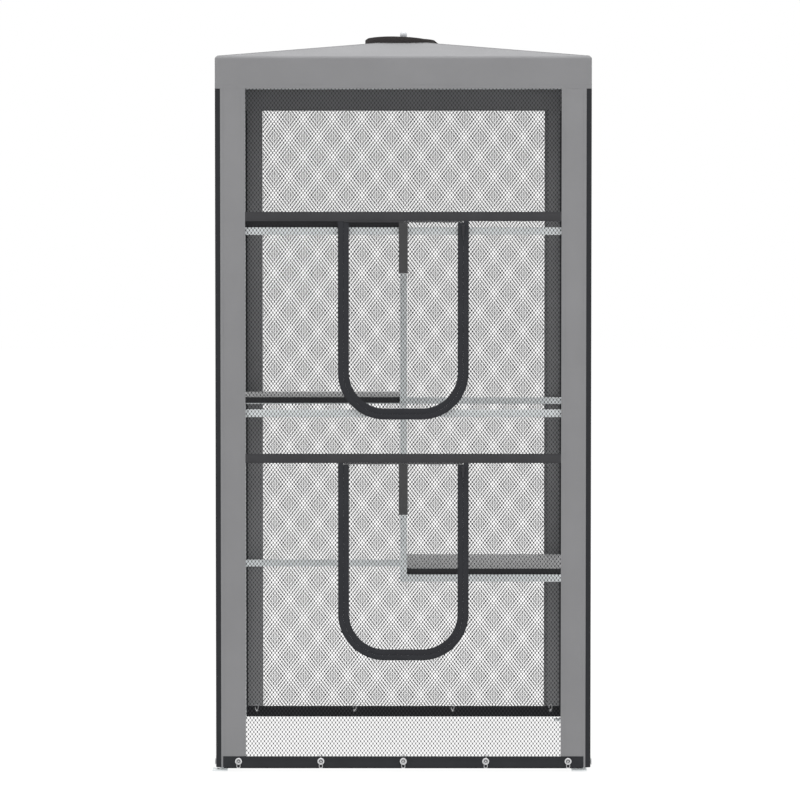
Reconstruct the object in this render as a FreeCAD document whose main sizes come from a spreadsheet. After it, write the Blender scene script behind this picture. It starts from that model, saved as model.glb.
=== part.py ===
import FreeCAD
import Part
import math
import os
import re

# Cat playpen: a steel tube frame with three shelves under a cloth and net cover.
# Millimetres. X runs to the right, Y to the back and Z up, from the middle of the ground under the tent.

SIZES = {
    # Cover as a whole
    "cover_width": 1000,
    "cover_depth": 1000,
    "eave_height": 1905,
    "roof_rise": 81,
    "skirt_drop": 86,
    "cloth_thickness": 1,
    "net_thickness": 0.6,
    "seam_overlap": 6,
    "running_gap": 0.3,
    # Grey columns and dark corner bindings
    "column_width": 66,
    "strip_width": 14,
    "binding_width": 34,
    "binding_rounding": 3.5,
    # Bottom hems with their eyelets and wire hooks
    "hem_bottom": 11,
    "hem_height": 30,
    "hem_thickness": 2,
    "hem_inset": 19,
    "hem_lap": 3,
    "eyelet_inset": 60,
    "eyelet_height": 16.7,
    "eyelet_diameter": 18.6,
    "eyelet_hole": 11,
    "eyelet_rim": 0.8,
    "hook_wire": 2.4,
    "hook_width": 11,
    "hook_reach": 18.4,
    "hook_bevel": 3,
    "hook_gap": 0.4,
    # Square steel tubes and the moulded joints that plug into them
    "tube_side": 20,
    "tube_wall": 1.2,
    "leg_inset": 20,
    "spigot_fit": 0.2,
    "spigot_length": 25,
    "lower_tier": 472,
    "tier_spacing": 485,
    "eave_rail_drop": 13.5,
    # Foot plates
    "foot_length": 40,
    "foot_width": 30,
    "foot_thickness": 5,
    # Shelves
    "shelf_thickness": 15,
    "shelf_gap": 0.2,
    "shelf_notch": 14,
    # Roof rafters, hub and finial
    "rafter_side": 5,
    "rafter_fit": 0.15,
    "rafter_drop": 1.5,
    "rafter_seat": 12,
    "hub_diameter": 52,
    "hub_height": 18,
    "finial_ball": 20,
    "finial_stem": 8,
    "finial_rise": 16.2,
    # Webbing loop round the finial
    "loop_length": 215,
    "loop_width": 170,
    "loop_webbing": 2,
    "loop_crest": 5.1,
    "loop_bend_rise": 4,
    "loop_bend_run": 9.5,
    "loop_shoulder_run": 30,
    "loop_end_height": 1.2,
    "loop_tail": 20,
    # Doors: band above, U-shaped zip, net flap
    "upper_band_bottom": 1468,
    "lower_band_bottom": 825,
    "band_height": 25,
    "zip_half_width": 174,
    "zip_height": 527,
    "zip_radius": 125,
    "tape_width": 14,
    "teeth_gap": 1.5,
    "hinge_bead": 3,
    # Tie straps
    "strap_width": 24,
    "strap_length": 138,
    "strap_thickness": 1.5,
    "strap_bead": 2.4,
    "strap_drop": 4.5,
    # Zip sliders and their pulls
    "slider_width": 10,
    "slider_length": 16,
    "slider_plate": 1.6,
    "slider_drop": 8,
    "pull_width": 6,
    "pull_length": 26,
    "pull_thickness": 1.4,
    "pull_pin": 1.2,
    "pull_eye": 2.8,
    "pin_fit": 0.05,
    "lug_width": 1.5,
    # Net gaps: the widest pitch and its row height, in the proportions of the netting
    "gap_pitch": 240,
    "gap_row": 157,
    "net_strand": 14,
    "net_margin": 8,
}

FRONT_EYELETS = 5
OTHER_EYELETS = 4
EYELET_SIDES = 8
BALL_BANDS = 6

HALF_WIDTH = "(cover_width / 2)"
HALF_DEPTH = "(cover_depth / 2)"
LEG_X = "(cover_width / 2 - leg_inset)"
LEG_Y = "(cover_depth / 2 - leg_inset)"
HALF_TUBE = "(tube_side / 2)"
TUBE_BORE = "(tube_side - 2 * tube_wall)"
SPIGOT = "(tube_side - 2 * tube_wall - 2 * spigot_fit)"
TIERS = {
    "lower": "lower_tier",
    "middle": "(lower_tier + tier_spacing)",
    "upper": "(lower_tier + 2 * tier_spacing)",
}
EAVE_RAIL = "(eave_height - eave_rail_drop)"
APEX = "(eave_height + roof_rise)"
SKIRT_BOTTOM = "(eave_height - skirt_drop)"
HEM_TOP = "(hem_bottom + hem_height)"
EYELET_Z = "(hem_bottom + eyelet_height)"
OPENING = "(cover_width / 2 - strip_width - column_width)"
DOOR_BANDS = {"upper": "upper_band_bottom", "lower": "lower_band_bottom"}
CORNERS = {
    "front_left": (-1, -1),
    "front_right": (1, -1),
    "back_left": (-1, 1),
    "back_right": (1, 1),
}
WALL_TURNS = {"front": 0, "right": 90, "back": 180, "left": 270}
AXES = "xyz"
UP = FreeCAD.Vector(0, 0, 1)
AXIS_TURNS = {
    "x": FreeCAD.Rotation(FreeCAD.Vector(0, 1, 0), 90),
    "y": FreeCAD.Rotation(FreeCAD.Vector(1, 0, 0), -90),
    "z": FreeCAD.Rotation(),
}

doc = FreeCAD.newDocument("CatPlaypen")
sizes = doc.addObject("Spreadsheet::Sheet", "Sizes")
for row, (alias, number) in enumerate(SIZES.items(), start=1):
    sizes.set(f"A{row}", alias)
    sizes.set(f"B{row}", str(number))
    sizes.setAlias(f"B{row}", alias)
doc.recompute()

nodes = {}


def bound(text):
    """An expression in which each size is read from the sheet."""
    return re.sub(r"[a-z_]+", lambda word: f"Sizes.{word[0]}" if word[0] in SIZES else word[0], text)


def value(text):
    """The number that an expression of sizes comes to."""
    return float(sizes.evalExpression(bound(text)))


def node(name, piece):
    """Names a finished sub-part."""
    piece.Label = name
    nodes[name] = piece


def place(piece, corner):
    """Binds the position of a piece to three expressions."""
    for axis, text in zip(AXES, corner):
        piece.setExpression(f"Placement.Base.{axis}", bound(text))


def box(low, high):
    """A block between two corners."""
    piece = doc.addObject("Part::Box", "Block")
    for side, start, end in zip(("Length", "Width", "Height"), low, high):
        piece.setExpression(side, bound(f"({end}) - ({start})"))
    place(piece, low)
    return piece


def bar(axis, side, start, end):
    """A square solid along one axis, from the centre of its first face to a coordinate on that axis."""
    low = []
    high = []
    for letter, text in zip(AXES, start):
        low.append(text if letter == axis else f"{text} - {side} / 2")
        high.append(end if letter == axis else f"{text} + {side} / 2")
    return box(low, high)


def lay(piece, axis, start, end):
    """Lays an upright solid along an axis, from the centre of its first face to a coordinate on that axis."""
    piece.Placement = FreeCAD.Placement(FreeCAD.Vector(), AXIS_TURNS[axis])
    piece.setExpression("Height", bound(f"({end}) - ({start[AXES.index(axis)]})"))
    place(piece, start)
    return piece


def rod(axis, diameter, start, end):
    """A round solid along one axis."""
    piece = doc.addObject("Part::Cylinder", "Rod")
    piece.setExpression("Radius", bound(f"({diameter}) / 2"))
    return lay(piece, axis, start, end)


def prism(axis, diameter, start, end):
    """A many-sided disc along one axis."""
    piece = doc.addObject("Part::Prism", "Prism")
    piece.Polygon = EYELET_SIDES
    piece.setExpression("Circumradius", bound(f"({diameter}) / 2"))
    return lay(piece, axis, start, end)


def cut(base, tools):
    """The base less the tools."""
    piece = doc.addObject("Part::Cut", "Cut")
    piece.Base = base
    piece.Tool = group(tools)
    return piece


def fuse(pieces):
    """One solid of several that meet."""
    piece = doc.addObject("Part::MultiFuse", "Fusion")
    piece.Shapes = pieces
    return piece


def group(pieces):
    """Separate solids kept side by side in one sub-part."""
    piece = doc.addObject("Part::Compound", "Group")
    piece.Links = pieces
    return piece


def shape(made):
    """A sub-part whose form is built from faces."""
    piece = doc.addObject("Part::Feature", "Form")
    piece.Shape = made
    return piece


def tube(axis, start, end):
    """A length of the frame's square steel tube."""
    return cut(bar(axis, "tube_side", start, end), [bar(axis, TUBE_BORE, start, end)])


def spigot(centre, way):
    """The peg of a joint on the side that way names, such as +x."""
    sign, axis = way
    index = AXES.index(axis)
    near = f"{centre[index]} {sign} {HALF_TUBE}"
    ends = [near, f"{near} {sign} spigot_length"]
    if sign == "-":
        ends.reverse()
    start = list(centre)
    start[index] = ends[0]
    return bar(axis, SPIGOT, start, ends[1])


def joint(centre, ways, head="0"):
    """A moulded cube with a peg for each tube that butts on it, made taller by head."""
    low = [f"{text} - {HALF_TUBE}" for text in centre]
    high = [f"{text} + {HALF_TUBE}" for text in centre]
    high[2] = f"{high[2]} + {head}"
    return fuse([box(low, high)] + [spigot(centre, way) for way in ways])


def inward(sign, axis):
    """The way from a side of the tent to its middle."""
    return f"{'-' if sign > 0 else '+'}{axis}"


def make_legs():
    """Four legs of tube sections that butt on the joints, and their foot plates."""
    stops = [*TIERS.values(), EAVE_RAIL]
    lows = ["foot_thickness", *[f"{stop} + {HALF_TUBE}" for stop in stops[:-1]]]
    highs = [f"{stop} - {HALF_TUBE}" for stop in stops]
    feet = []
    for corner, (side, face) in CORNERS.items():
        x = f"{side} * {LEG_X}"
        y = f"{face} * {LEG_Y}"
        sections = [tube("z", (x, y, low), high) for low, high in zip(lows, highs)]
        node(f"{corner}_leg", group(sections))
        feet.append(foot(x, y))
    node("feet", group(feet))


def foot(x, y):
    """A plate that stands out to the left of the leg, with a peg up into the tube."""
    low_x = f"{x} + {HALF_TUBE} - foot_length"
    low = (low_x, f"{y} - foot_width / 2", "0")
    high = (f"{low_x} + foot_length", f"{y} + foot_width / 2", "foot_thickness")
    peg = bar("z", SPIGOT, (x, y, "foot_thickness"), "foot_thickness + spigot_length")
    return fuse([box(low, high), peg])


def make_leg_joints():
    """The joints on the legs at the three tiers."""
    faces_with_rail = {"lower": (1,), "middle": (-1, 1), "upper": (-1,)}
    joints = []
    for tier, height in TIERS.items():
        for side, face in CORNERS.values():
            ways = ["-z", "+z", inward(face, "y")]
            if face in faces_with_rail[tier]:
                ways.append(inward(side, "x"))
            joints.append(joint((f"{side} * {LEG_X}", f"{face} * {LEG_Y}", height), ways))
    node("leg_joints", group(joints))


def rail_halves(y, height):
    """A rail across the tent in two tubes, with room for a tee in the middle."""
    left = tube("x", (f"{HALF_TUBE} - {LEG_X}", y, height), f"-{HALF_TUBE}")
    right = tube("x", (HALF_TUBE, y, height), f"{LEG_X} - {HALF_TUBE}")
    return group([left, right])


def make_tier_rails():
    """Side rails at every tier, and the rails across the front and the back."""
    reach = f"{LEG_Y} - {HALF_TUBE}"
    for tier, height in TIERS.items():
        left = tube("y", (f"-{LEG_X}", f"-({reach})", height), reach)
        if tier == "lower":
            near = tube("y", (LEG_X, f"-({reach})", height), f"-{HALF_TUBE}")
            right = [near, tube("y", (LEG_X, HALF_TUBE, height), reach)]
        else:
            right = [tube("y", (LEG_X, f"-({reach})", height), reach)]
        node(f"{tier}_side_rails", group([left, *right]))
    node("upper_front_rail", rail_halves(f"-{LEG_Y}", TIERS["upper"]))
    node("middle_front_rail", rail_halves(f"-{LEG_Y}", TIERS["middle"]))
    node("middle_back_rail", rail_halves(LEG_Y, TIERS["middle"]))
    node("lower_back_rail", rail_halves(LEG_Y, TIERS["lower"]))


def make_centre():
    """The centre post, the beams that meet it, and the joints between them."""
    lower, middle, upper = TIERS.values()
    spans = [(lower, middle), (middle, upper)]
    sections = [
        tube("z", ("0", "0", f"{low} + {HALF_TUBE}"), f"{high} - {HALF_TUBE}") for low, high in spans
    ]
    node("centre_post", group(sections))
    front = f"{HALF_TUBE} - {LEG_Y}"
    back = f"{LEG_Y} - {HALF_TUBE}"
    beams = [
        tube("y", ("0", front, upper), f"-{HALF_TUBE}"),
        tube("y", ("0", front, middle), f"-{HALF_TUBE}"),
        tube("y", ("0", HALF_TUBE, middle), back),
        tube("y", ("0", HALF_TUBE, lower), back),
    ]
    node("centre_beams", group(beams))
    node("lower_cross_beam", tube("x", (HALF_TUBE, "0", lower), f"{LEG_X} - {HALF_TUBE}"))
    post_joints = [
        joint(("0", "0", lower), ["+z", "+x", "+y"]),
        joint(("0", "0", middle), ["-z", "+z", "-y", "+y"]),
        joint(("0", "0", upper), ["-z", "-y"]),
    ]
    node("post_joints", group(post_joints))
    tees = [
        joint(("0", f"-{LEG_Y}", upper), ["-x", "+x", "+y"]),
        joint(("0", f"-{LEG_Y}", middle), ["-x", "+x", "+y"]),
        joint(("0", LEG_Y, middle), ["-x", "+x", "-y"]),
        joint(("0", LEG_Y, lower), ["-x", "+x", "-y"]),
        joint((LEG_X, "0", lower), ["-y", "+y", "-x"]),
    ]
    node("rail_tees", group(tees))


def make_shelf(tier, side, face):
    """A board on the rails of one quarter, notched round the post and the leg."""
    low_z = f"{TIERS[tier]} + {HALF_TUBE} + shelf_gap"
    low = (f"{min(side, 0)} * {LEG_X}", f"{min(face, 0)} * {LEG_Y}", low_z)
    high = (f"{max(side, 0)} * {LEG_X}", f"{max(face, 0)} * {LEG_Y}", f"{low_z} + shelf_thickness")
    notches = []
    for share in (0, 1):
        x = f"{share * side} * {LEG_X}"
        y = f"{share * face} * {LEG_Y}"
        notch_low = (f"{x} - shelf_notch", f"{y} - shelf_notch", f"{low_z} - shelf_thickness")
        notch_high = (f"{x} + shelf_notch", f"{y} + shelf_notch", f"{low_z} + 2 * shelf_thickness")
        notches.append(box(notch_low, notch_high))
    node(f"{tier}_shelf", cut(box(low, high), notches))


def sloped_bar(side, start, end):
    """A square solid between two points, with two of its sides upright."""
    run = end - start
    made = Part.makeBox(run.Length, side, side, FreeCAD.Vector(0, -side / 2, -side / 2))
    made.Placement = FreeCAD.Placement(start, FreeCAD.Rotation(run, FreeCAD.Vector(), UP, "XZY"))
    return made


def turned_ball(radius, bands):
    """A ball turned in straight bands from pole to pole."""
    angles = [math.pi * band / bands for band in range(bands + 1)]
    points = [FreeCAD.Vector(radius * math.sin(angle), 0, radius * math.cos(angle)) for angle in angles]
    points[0].x = 0
    points[-1].x = 0
    profile = Part.Face(Part.makePolygon(points + points[:1]))
    return profile.revolve(FreeCAD.Vector(), UP, 360)


def make_roof_frame():
    """Eave rails and their corner joints, rafters, hub and finial."""
    reach_x = f"{LEG_X} - {HALF_TUBE}"
    reach_y = f"{LEG_Y} - {HALF_TUBE}"
    rails = []
    for sign in (-1, 1):
        rails.append(tube("x", (f"-({reach_x})", f"{sign} * {LEG_Y}", EAVE_RAIL), reach_x))
        rails.append(tube("y", (f"{sign} * {LEG_X}", f"-({reach_y})", EAVE_RAIL), reach_y))
    node("eave_rails", group(rails))

    hub_radius = value("hub_diameter / 2")
    slope = value("roof_rise / (min(cover_width; cover_depth) / 2)")
    hub_top = value(f"{APEX} - cloth_thickness - running_gap") - slope * hub_radius
    hub_low = hub_top - value("hub_height")
    hub = Part.makeCylinder(hub_radius, value("hub_height"), FreeCAD.Vector(0, 0, hub_low))
    stem_bore = value("finial_stem / 2 + rafter_fit")
    hub = hub.cut(Part.makeCylinder(stem_bore, value("hub_height"), FreeCAD.Vector(0, 0, hub_low)))

    corner_joints = []
    rafters = []
    for side, face in CORNERS.values():
        x = f"{side} * {LEG_X}"
        y = f"{face} * {LEG_Y}"
        outer = FreeCAD.Vector(value(x), value(y), value("eave_height - rafter_drop"))
        level = FreeCAD.Vector(outer.x, outer.y, 0).normalize()
        rim = level * hub_radius + UP * (hub_low + value("hub_height / 2"))
        run = (outer - rim).normalize()
        inner = rim - run * (hub_radius - value("rafter_seat"))
        end_room = run * value("running_gap")
        rafters.append(sloped_bar(value("rafter_side"), inner, outer))
        bore = sloped_bar(value("rafter_side + 2 * rafter_fit"), inner - end_room, outer + end_room)
        hub = hub.cut(bore)
        head = f"eave_rail_drop - {HALF_TUBE}"
        block = joint((x, y, EAVE_RAIL), ["-z", inward(side, "x"), inward(face, "y")], head)
        corner_joints.append(cut(block, [shape(bore)]))
    node("roof_rafters", shape(Part.makeCompound(rafters)))
    node("eave_corner_joints", group(corner_joints))
    node("roof_hub", shape(hub))

    ball = shape(turned_ball(value("finial_ball / 2"), BALL_BANDS))
    place(ball, ("0", "0", f"{APEX} + finial_rise"))
    stem = rod("z", "finial_stem", ("0", "0", str(hub_low)), f"{APEX} + finial_rise")
    node("finial", fuse([ball, stem]))


def roof_faces():
    """The four slopes of the roof."""
    half_x = value(HALF_WIDTH)
    half_y = value(HALF_DEPTH)
    apex = FreeCAD.Vector(0, 0, value(APEX))
    eave = [
        FreeCAD.Vector(x * half_x, y * half_y, value("eave_height"))
        for x, y in ((-1, -1), (1, -1), (1, 1), (-1, 1))
    ]
    outlines = [[apex, start, end, apex] for start, end in zip(eave, eave[1:] + eave[:1])]
    return [Part.Face(Part.makePolygon(outline)) for outline in outlines]


def make_roof_cloth():
    """Four gores that meet on the hips, with a hole for the finial, over a hanging skirt."""
    hole_radius = value("finial_stem / 2 + running_gap")
    hole = Part.makeCylinder(hole_radius, value("2 * roof_rise"), UP * value("eave_height"))
    gores = [face.extrude(UP * -value("cloth_thickness")).cut(hole) for face in roof_faces()]
    node("roof_gores", shape(Part.makeCompound(gores)))
    top = "eave_height - cloth_thickness"
    strips = []
    for wall in WALL_TURNS:
        half = wall_half(wall)
        lap = "0" if wall in ("front", "back") else "cloth_thickness"
        length = f"{wall_length(wall)} - {lap}"
        strips.append(wall_box(wall, length, f"{half} - cloth_thickness", half, SKIRT_BOTTOM, top))
    node("roof_skirt", group(strips))


def wall_half(wall):
    """How far the outer face of a wall stands from the middle of the tent."""
    return HALF_DEPTH if wall in ("front", "back") else HALF_WIDTH


def wall_length(wall):
    """Half the length of a wall."""
    return HALF_WIDTH if wall in ("front", "back") else HALF_DEPTH


def wall_box(wall, half_length, inner, outer, low, high):
    """A flat strip along one wall, between two distances from the middle of the tent."""
    ends = (f"-({half_length})", half_length)
    if wall in ("front", "left"):
        depths = (f"-({outer})", f"-({inner})")
    else:
        depths = (inner, outer)
    if wall in ("front", "back"):
        return box((ends[0], depths[0], low), (ends[1], depths[1], high))
    return box((depths[0], ends[0], low), (depths[1], ends[1], high))


def hem_length(wall):
    """Half the length of a hem, which ends at the corner bindings on the side walls."""
    if wall in ("front", "back"):
        return f"({HALF_WIDTH} - hem_inset)"
    return f"({HALF_DEPTH} - cloth_thickness - binding_width)"


def eyelet_places(wall):
    """Where the eyelets of a hem stand along it."""
    count = FRONT_EYELETS if wall == "front" else OTHER_EYELETS
    reach = f"({wall_length(wall)} - eyelet_inset)"
    return [f"({reach} * (2 * {index} / {count - 1} - 1))" for index in range(count)]


def wall_disc(wall, diameter, along, inner, outer, height):
    """A disc square to a wall, between two distances from the middle of the tent."""
    start = f"-({outer})" if wall in ("front", "left") else inner
    end = f"-({inner})" if wall in ("front", "left") else outer
    if wall in ("front", "back"):
        return prism("y", diameter, (along, start, height), end)
    return prism("x", diameter, (start, along, height), end)


def make_hems():
    """A folded band along the foot of each wall, with metal eyelets."""
    hems = []
    eyelets = []
    for wall in WALL_TURNS:
        inner = f"({wall_half(wall)} - cloth_thickness)"
        outer = f"({inner} + hem_thickness)"
        rim = f"({outer} + eyelet_rim)"
        band = wall_box(wall, hem_length(wall), inner, outer, "hem_bottom", HEM_TOP)
        holes = []
        for along in eyelet_places(wall):
            holes.append(wall_disc(wall, "eyelet_hole", along, inner, outer, EYELET_Z))
            flange = wall_disc(wall, "eyelet_diameter", along, outer, rim, EYELET_Z)
            eye = wall_disc(wall, "eyelet_hole", along, outer, rim, EYELET_Z)
            eyelets.append(cut(flange, [eye]))
        hems.append(cut(band, holes))
    node("bottom_hems", group(hems))
    node("eyelets", group(eyelets))


def polygon_solid(points, thickness):
    """A flat outline in the XZ plane, given as pairs, thickened towards the back."""
    corners = [FreeCAD.Vector(x, 0, z) for x, z in points]
    face = Part.Face(Part.makePolygon(corners + corners[:1]))
    return face.extrude(FreeCAD.Vector(0, thickness, 0))


def hook():
    """A wire hook through an eyelet: an open loop hanging outside, and the same one standing inside."""
    wire = value("hook_wire")
    half = wire / 2
    side = value("hook_width / 2")
    inner_side = side - wire
    slant = wire * math.sqrt(2)
    reach = value("hook_reach")
    bevel = value("hook_bevel")
    inner_bevel = bevel - half
    outline = [
        (-half, half),
        (-half, -half),
        (-side, -side),
        (-side, bevel - reach),
        (bevel - side, -reach),
        (side - bevel, -reach),
        (side, bevel - reach),
        (side, -side),
        (inner_side, -side),
        (inner_side, inner_bevel + wire - reach),
        (inner_side - inner_bevel, wire - reach),
        (inner_bevel - inner_side, wire - reach),
        (-inner_side, inner_bevel + wire - reach),
        (-inner_side, -inner_side - slant),
        (half, half - slant),
        (half, half),
    ]
    outside = value("hem_thickness / 2 + eyelet_rim + hook_gap")
    loop = polygon_solid(outline, wire)
    loop.translate(FreeCAD.Vector(0, -outside - wire, 0))
    inside_loop = loop.copy()
    inside_loop.rotate(FreeCAD.Vector(), FreeCAD.Vector(1, 0, 0), 180)
    bridge = Part.makeBox(wire, 2 * outside, wire, FreeCAD.Vector(-half, -outside, -half))
    return loop.fuse([inside_loop, bridge]).removeSplitter()


def make_hooks():
    """The hooks of each wall, threaded through its eyelets."""
    for wall, turn in WALL_TURNS.items():
        depth = value(f"{wall_half(wall)} - cloth_thickness + hem_thickness / 2")
        hooks = []
        for along in eyelet_places(wall):
            piece = hook()
            piece.translate(FreeCAD.Vector(value(along), -depth, value(EYELET_Z)))
            piece.rotate(FreeCAD.Vector(), UP, turn)
            hooks.append(piece)
        node(f"{wall}_hooks", shape(Part.makeCompound(hooks)))


def make_columns():
    """Grey cloth beside each corner, with a narrow strip that runs down past the hem."""
    for face_name, face in (("front", -1), ("back", 1)):
        depths = (f"{HALF_DEPTH} - cloth_thickness", HALF_DEPTH)
        y = depths if face > 0 else [f"-({text})" for text in reversed(depths)]
        columns = []
        for side in (-1, 1):
            inner = f"{side} * {OPENING}"
            edge = f"{side} * ({HALF_WIDTH} - strip_width)"
            hem_end = f"{side} * ({HALF_WIDTH} - hem_inset)"
            wide = (inner, edge) if side > 0 else (edge, inner)
            narrow = (hem_end, edge) if side > 0 else (edge, hem_end)
            panel = box((wide[0], y[0], HEM_TOP), (wide[1], y[1], SKIRT_BOTTOM))
            tongue = box((narrow[0], y[0], "hem_bottom"), (narrow[1], y[1], HEM_TOP))
            columns.append(fuse([panel, tongue]))
        node(f"{face_name}_columns", group(columns))


def make_bindings():
    """A dark angle of webbing round each corner, with a rounded edge."""
    width = value("binding_width")
    thick = value("cloth_thickness")
    outer_radius = value("binding_rounding")
    height = value(f"{SKIRT_BOTTOM} - hem_bottom")
    bindings = []
    for side, face in CORNERS.values():
        edges = []
        for inset in (0, thick):
            radius = outer_radius - inset
            near = FreeCAD.Vector(-width, -inset, 0)
            turn_in = FreeCAD.Vector(-outer_radius, -inset, 0)
            middle = FreeCAD.Vector(-outer_radius + radius / 2**0.5, -outer_radius + radius / 2**0.5, 0)
            turn_out = FreeCAD.Vector(-inset, -outer_radius, 0)
            far = FreeCAD.Vector(-inset, -width, 0)
            edges.append(Part.makeLine(near, turn_in))
            edges.append(Part.Arc(turn_in, middle, turn_out).toShape())
            edges.append(Part.makeLine(turn_out, far))
        edges.append(Part.makeLine(FreeCAD.Vector(-width, 0, 0), FreeCAD.Vector(-width, -thick, 0)))
        edges.append(Part.makeLine(FreeCAD.Vector(0, -width, 0), FreeCAD.Vector(-thick, -width, 0)))
        profile = Part.Face(Part.Wire(Part.__sortEdges__(edges)))
        angle = profile.extrude(UP * height)
        angle.rotate(FreeCAD.Vector(), UP, {(1, 1): 0, (-1, 1): 90, (-1, -1): 180, (1, -1): 270}[side, face])
        x = side * value(HALF_WIDTH)
        y = face * value(f"{HALF_DEPTH} - cloth_thickness")
        angle.translate(FreeCAD.Vector(x, y, value("hem_bottom")))
        bindings.append(angle)
    node("corner_bindings", shape(Part.makeCompound(bindings)))


def gap_wire(x, z, half_x, half_z):
    """The outline of one six-sided gap of the net."""
    shoulder = half_z / 2
    corners = [(0, half_z), (half_x, shoulder), (half_x, -shoulder), (0, -half_z), (-half_x, -shoulder)]
    corners.append((-half_x, shoulder))
    points = [FreeCAD.Vector(x + dx, 0, z + dz) for dx, dz in corners]
    return Part.makePolygon(points + points[:1])


def net(edges):
    """A flat net in the XZ plane: staggered rows of gaps fitted to the outline, less those that cross it."""
    outline = Part.Wire(Part.__sortEdges__(edges))
    limits = outline.BoundBox
    strand = value("net_strand")
    margin = value("net_margin")
    room_x = limits.XLength - 2 * margin + strand
    room_z = limits.ZLength - 2 * margin + strand
    columns = math.ceil(room_x / value("gap_pitch"))
    pitch = room_x / columns
    rows = max(1, round(room_z / (pitch * value("gap_row / gap_pitch")) - 1 / 3))
    row_step = room_z / (rows + 1 / 3)
    half_x = (pitch - strand) / 2
    half_z = row_step / 1.5 - strand / 2
    whole = Part.Face(outline)
    gaps = []
    for row in range(rows):
        offset = row % 2
        z = limits.ZMin + margin + half_z + row * row_step
        for column in range(columns - offset):
            x = limits.XMin + margin + half_x + (column + offset / 2) * pitch
            gap = gap_wire(x, z, half_x, half_z)
            inside = whole.isInside(FreeCAD.Vector(x, 0, z), value("running_gap"), False)
            if inside and outline.distToShape(gap)[0] >= strand / 2:
                gaps.append(gap)
    face = Part.makeFace([outline, *gaps], "Part::FaceMakerBullseye")
    return face.extrude(FreeCAD.Vector(0, value("net_thickness"), 0))


def rectangle(low_x, low_z, high_x, high_z):
    """The edges of an upright rectangle in the XZ plane."""
    corners = [
        FreeCAD.Vector(low_x, 0, low_z),
        FreeCAD.Vector(high_x, 0, low_z),
        FreeCAD.Vector(high_x, 0, high_z),
        FreeCAD.Vector(low_x, 0, high_z),
    ]
    return [Part.makeLine(a, b) for a, b in zip(corners, corners[1:] + corners[:1])]


def stand_on_wall(made, wall):
    """Moves a net from the XZ plane to the back of the cloth of a wall."""
    made.translate(FreeCAD.Vector(0, -value(f"{wall_half(wall)} - cloth_thickness"), 0))
    made.rotate(FreeCAD.Vector(), UP, WALL_TURNS[wall])
    return made


def make_plain_nets():
    """The nets of the back and the sides, and of the front above the doors."""
    low = value(f"{HEM_TOP} - hem_lap")
    high = value(f"{SKIRT_BOTTOM} + hem_lap")
    front_half = value(f"{OPENING} + seam_overlap")
    side_half = value(f"{hem_length('left')} + seam_overlap")
    for wall, half in (("back", front_half), ("left", side_half), ("right", side_half)):
        panel = net(rectangle(-half, low, half, high))
        node(f"{wall}_net", shape(stand_on_wall(panel, wall)))
    top_low = value("upper_band_bottom + band_height - hem_lap")
    panel = net(rectangle(-front_half, top_low, front_half, high))
    node("front_top_net", shape(stand_on_wall(panel, "front")))


def zip_curve(band_bottom, inset):
    """Half width, bottom height and corner radius of the zip's U, drawn inset from its outer edge."""
    half = value("zip_half_width") - inset
    bottom = band_bottom - value("zip_height") + inset
    return half, bottom, value("zip_radius") - inset


def zip_edges(band_bottom, inset, top):
    """The edges of the zip's U from its left end at the top to its right end."""
    half, bottom, radius = zip_curve(band_bottom, inset)
    straight = half - radius
    bend = radius * (1 - 2**-0.5)
    edges = [Part.makeLine(FreeCAD.Vector(-half, 0, top), FreeCAD.Vector(-half, 0, bottom + radius))]
    for side in (-1, 1):
        arc = Part.Arc(
            FreeCAD.Vector(side * half, 0, bottom + radius),
            FreeCAD.Vector(side * (half - bend), 0, bottom + bend),
            FreeCAD.Vector(side * straight, 0, bottom),
        )
        edges.append(arc.toShape())
    edges.append(Part.makeLine(FreeCAD.Vector(-straight, 0, bottom), FreeCAD.Vector(straight, 0, bottom)))
    edges.append(Part.makeLine(FreeCAD.Vector(half, 0, bottom + radius), FreeCAD.Vector(half, 0, top)))
    return edges


def zip_tape(band_bottom, inset, top):
    """One cloth tape of the zip, whose outer edge is inset from the zip's own."""
    width = value("tape_width")
    edges = zip_edges(band_bottom, inset, top) + zip_edges(band_bottom, inset + width, top)
    for side in (-1, 1):
        outer = side * zip_curve(band_bottom, inset)[0]
        inner = side * zip_curve(band_bottom, inset + width)[0]
        edges.append(Part.makeLine(FreeCAD.Vector(outer, 0, top), FreeCAD.Vector(inner, 0, top)))
    thickness = value("cloth_thickness")
    tape = Part.Face(Part.Wire(Part.__sortEdges__(edges))).extrude(FreeCAD.Vector(0, thickness, 0))
    tape.translate(FreeCAD.Vector(0, -value(HALF_DEPTH), 0))
    return tape


def bend_edges(half, bottom, radius, low, side):
    """The edges of the net under one bend of the zip."""
    straight = half - radius
    bend = radius * (1 - 2**-0.5)
    points = [(straight, bottom), (straight, low), (half, low), (half, bottom + radius)]
    corners = [FreeCAD.Vector(side * x, 0, z) for x, z in points]
    edges = [Part.makeLine(a, b) for a, b in zip(corners, corners[1:])]
    arc_middle = FreeCAD.Vector(side * (half - bend), 0, bottom + bend)
    edges.append(Part.Arc(corners[-1], arc_middle, corners[0]).toShape())
    return edges


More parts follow.
